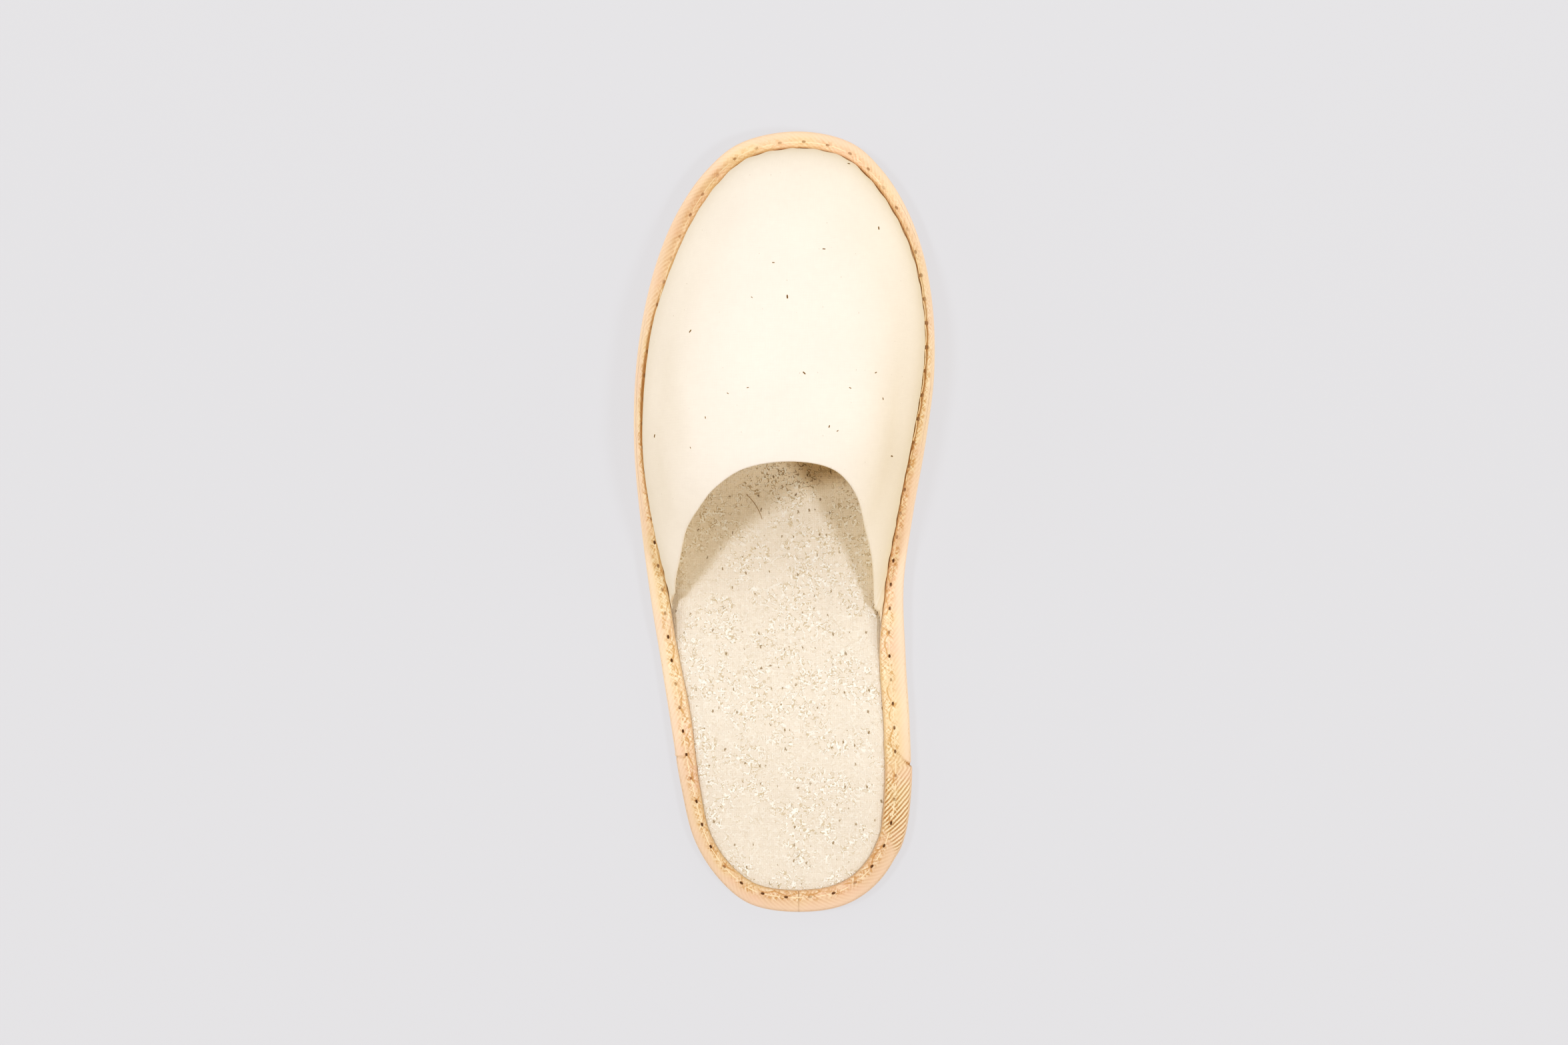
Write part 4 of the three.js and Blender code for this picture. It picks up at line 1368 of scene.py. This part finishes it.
def linenMaterial():
    material, nodes, shader = newMaterial("linen insole", 0.92, 0.25, 0.25)
    where = readPlace(nodes)
    y = split(where)[1]
    look = linenLook
    weave = useGroup("weave", Cloth=where, **look["weave"])
    shade = useGroup("shade", Place=where, Amount=look["mottle"])["Tone"]
    dark = useGroup("flecks", Place=where, **look["husks"])["Mask"]
    fine = useGroup("nap", Place=where, **look["fineNap"])
    long = useGroup("nap", Place=where, **look["longNap"])
    # Pale fibres with a painted highlight, and a painted shadow beside each
    light = calc("MAXIMUM", fine["Mask"], long["Mask"])
    fibreShade = calc("MAXIMUM", fine["Shade"], long["Shade"])
    colour = mixed(ramp(weave["Height"], *look["weaveShade"]), look["deep"], look["pale"])
    colour = mixed(0.6, colour, look["pale"])
    tone = shade * ramp(weave["Tone"], *look["threadTone"])
    # Darker towards the heel; under the vamp painted light lifts the ground, and the fibres' painted
    # shadows grow darker
    alongTone = ramp(y, *look["heelTone"]) * ramp(y, *look["underVampLift"])
    colour = colour * (tone * alongTone)
    underVampShade = ramp(y, *look["underVampFrom"])
    shaded = mixed(underVampShade, look["fibreShade"], look["underVampShade"])
    colour = mixed(fibreShade * ramp(underVampShade, 0, 1, 0.8, 1.0), colour, shaded)
    colour = mixed(light, colour, look["light"])
    colour = mixed(dark * 0.75, colour, look["dark"])
    feed(shader["Base Color"], mixed(looseFibre(where), colour, look["fibre"]))
    addBump(shader, weave["Height"] * 0.8 + light, look["depth"], 0.7)
    return material


def ringSolid(name, rail, rules, across, topRelief=None):  # rings round the edge, closed by two caps
    rings = np.stack([place(rail, distance, height) for distance, height in rules], axis=1)
    count, toe = rail["count"], rail["toe"]
    points = [rings.reshape(-1, 3)]
    faces = [gridFaces(count, len(rules), True, False)]
    left = np.arange(toe + 1)
    right = (count - left) % count
    share = np.linspace(0, 1, across + 1)[None, :, None]
    start = count * len(rules)
    for ring, top in ((0, False), (len(rules) - 1, True)):
        cap = rings[left, ring][:, None] * (1 - share) + rings[right, ring][:, None] * share
        if top and topRelief:
            cap[..., 2] += topRelief(cap)
        quads = gridFaces(toe + 1, across + 1) + start
        faces.append(quads if top else quads[:, ::-1])
        points.append(cap.reshape(-1, 3))
        start += cap.shape[0] * cap.shape[1]
    return addMesh(name, np.vstack(points), np.vstack(faces), merge=0.002)


def padTop(cap):  # the pad's slow waves, which fade at its rim
    x, y = cap[..., 0], cap[..., 1]
    wave = softNoise(x, y, x * 0, padShape["sagSize"], 1.7)
    across = np.linspace(0, 1, cap.shape[1])[None, :]
    inside = smooth(np.minimum(across, 1 - across) * 8)
    return padShape["sag"] * wave * inside


def makeInsole():
    rail = makeRail(padShape)
    bottom, edge, top = levels["insoleBottom"], levels["insoleEdge"], levels["insoleTop"]
    inset = levels["stackInset"]
    swellStart = rail["cover"] + sole["gap"] + rail["vamp"] * (sole["gap"] + vamp["wall"])
    rules = [
        (sole["liftReach"], bottom),
        (padShape["flatFrom"], bottom),
        (tape["under"] + sole["gap"], bottom),
        (inset, bottom),
        (inset - sole["edgeBow"], (bottom + edge) / 2),
        (inset, edge),
        (swellStart, edge),
    ]
    for share in np.linspace(0, 1, padShape["swellSteps"] + 1)[1:]:
        arch = math.sin(share * math.pi / 2) ** padShape["swellPower"]
        rules.append((swellStart + sole["puff"] * share, edge + (top - edge) * arch))
    rules.append((sole["liftReach"], top))
    pad = ringSolid("insole_pad", rail, rules, padShape["across"], padTop)
    finishPiece(pad, linenMaterial(), "insole", "insole")


# Outsole

foamLook = {
    "deep": (0.80, 0.78, 0.72, 1),
    "pale": (0.86, 0.84, 0.79, 1),
    "cells": 2.2,
    "mottle": 0.05,
    "depth": 0.08,
}
treadShape = {"spacing": 4.2, "rowRatio": 0.866, "dot": 2.4, "height": 0.45, "inset": 12, "across": 8}


def foamMaterial():
    material, nodes, shader = newMaterial("sole foam", 0.75, 0.0, 0.4)
    where = readPlace(nodes)
    cells = noiseOf(where, foamLook["cells"], 3.0, 0.6)
    tone = useGroup("shade", Place=where, Amount=foamLook["mottle"])["Tone"]
    feed(shader["Base Color"], mixed(cells, foamLook["deep"], foamLook["pale"]) * tone)
    addBump(shader, cells, foamLook["depth"], 0.5)
    return material


def makeOutsole():
    rail = makeRail(padShape)
    edge, top = levels["outsoleEdge"], sole["outsole"]
    inset, step = levels["stackInset"], tape["under"] + sole["gap"]
    floor, flatFrom = treadShape["height"], padShape["flatFrom"]
    rules = [
        (sole["liftReach"], floor),
        (flatFrom, floor),
        (step + 0.6, floor),
        (step + 0.2, floor + 0.15),
        (step, floor + 0.4),
        (step, edge),
        (inset, edge),
        (inset - sole["edgeBow"], (edge + top) / 2),
        (inset, top),
        (step, top),
        (flatFrom, top),
        (sole["liftReach"], top),
    ]
    material = foamMaterial()
    foam = ringSolid("outsole_foam", rail, rules, treadShape["across"])
    finishPiece(foam, material, "outsole", "outsole")
    pitch, ratio = treadShape["spacing"], treadShape["rowRatio"]
    points = []
    for row in range(int(sole["length"] / pitch / ratio) + 1):
        y = -sole["length"] / 2 + row * pitch * ratio
        for column in range(int(sole["width"] / pitch) + 1):
            x = -sole["width"] / 2 + (column + row % 2 / 2) * pitch
            away = np.hypot(rail["point"][:, 0] - x, rail["point"][:, 1] - y)
            near = int(np.argmin(away))
            inside = np.dot((x, y) - rail["point"][near], rail["inward"][near])
            if inside > treadShape["inset"]:
                lift = rail["lift"][near] * (1 - smooth(inside / sole["liftReach"]))
                points.append((x, y, floor + lift))
    down = np.broadcast_to((0, 0, -1.0), (len(points), 3))
    ahead = np.broadcast_to((1.0, 0, 0), (len(points), 3))
    sizes = {"Width": treadShape["dot"], "Height": treadShape["height"]}
    scatter("tread_dots", "dots", points, ahead, down, "outsole", material, **sizes)


print("pieces")
makeStitches(*makeTape())
makeHusks(*makeUpper())
makeInsole()
makeOutsole()

# Floor, light and camera

print("stage")
stageLook = {
    "floorHalf": 4000,
    "floor": (0.12, 0.12, 0.124, 1),
    "floorGlow": (0.60, 0.625, 0.65, 1),
    "sky": (1.12, 0.975, 0.78, 1),
    "skyLight": 0.40,
    "skySeen": (0.76, 0.76, 0.775, 1),
}
camera = {"height": 1400, "shift": (80, 5), "lens": 87.7, "target": (0, 0, 8)}
# Suns: where each shines from, its spread in degrees, strength and tint
lamps = [
    ("keyLeft", (-0.47, 0.13, 1), 9, 1.10, (0.965, 1, 1.05)),
    ("keyRight", (0.64, -0.25, 1), 9, 1.06, (0.965, 1, 1.05)),
    ("leftFill", (-1, 0.1, 0.3), 50, 0.85, (1, 0.99, 0.96)),
    ("rightFill", (1, 0.1, 0.3), 50, 0.85, (1, 0.93, 0.82)),
]
toeLamp = {"place": (60, 520, 430), "target": (0, 100, 0), "size": 500, "power": 0.5}
# The film's answer to red, green and blue: shades turn a little deeper and warmer
filmCurves = [
    [(0.22, 0.205), (0.53, 0.57), (0.85, 0.875)],
    [(0.18, 0.14), (0.45, 0.445), (0.82, 0.825)],
    [(0.13, 0.075), (0.35, 0.29), (0.68, 0.67)],
]


def lookAt(place, target, up):
    back = (Vector(place) - Vector(target)).normalized()
    side = Vector(up).cross(back).normalized()
    turn = Matrix((side, back.cross(side), back)).transposed().to_4x4()
    return Matrix.Translation(Vector(place) * mm) @ turn


def makeStage():
    half = stageLook["floorHalf"]
    corners = [(-half, -half, 0), (half, -half, 0), (half, half, 0), (-half, half, 0)]
    floor = addMesh("floor", corners, [(0, 1, 2, 3)])
    material, nodes, shader = newMaterial("floor", 0.9, 0.0, 0.1)
    feed(shader["Base Color"], stageLook["floor"])
    feed(shader["Emission Color"], stageLook["floorGlow"])
    feed(shader["Emission Strength"], 1.0)
    floor.data.materials.append(material)
    world = bpy.data.worlds.new("studio")
    world.use_nodes = True
    nodes = world.node_tree.nodes
    sky = nodes["Background"]
    feed(sky.inputs["Color"], stageLook["sky"])
    feed(sky.inputs["Strength"], stageLook["skyLight"])
    seen = make(nodes, "ShaderNodeBackground", {"Color": stageLook["skySeen"]})
    toCamera = make(nodes, "ShaderNodeLightPath", (), "Is Camera Ray")
    both = make(nodes, "ShaderNodeMixShader", (toCamera, Field(sky.outputs[0]), seen))
    feed(nodes["World Output"].inputs[0], both)
    bpy.context.scene.world = world
    for name, source, spread, strength, tint in lamps:
        data = bpy.data.lights.new(name, "SUN")
        data.energy = strength
        data.angle = math.radians(spread)
        data.color = tint
        addToScene(name, data).matrix_world = lookAt(source, (0, 0, 0), (0, 1, 0.1))
    data = bpy.data.lights.new("toeLamp", "AREA")
    data.shape = "DISK"
    data.size = toeLamp["size"] * mm
    data.energy = toeLamp["power"]
    seat = lookAt(toeLamp["place"], toeLamp["target"], (0, 0, 1))
    addToScene("toeLamp", data).matrix_world = seat
    data = bpy.data.cameras.new("camera")
    data.lens = camera["lens"]
    seat = lookAt((*camera["shift"], camera["height"]), camera["target"], (0, 1, 0))
    addToScene("camera", data).matrix_world = seat
    bpy.context.scene.camera = bpy.data.objects["camera"]
    view = bpy.context.scene.view_settings
    view.view_transform = "Standard"
    view.use_curve_mapping = True
    for curve, points in zip(view.curve_mapping.curves, filmCurves):
        for x, y in points:
            curve.points.new(x, y)
    view.curve_mapping.update()


makeStage()
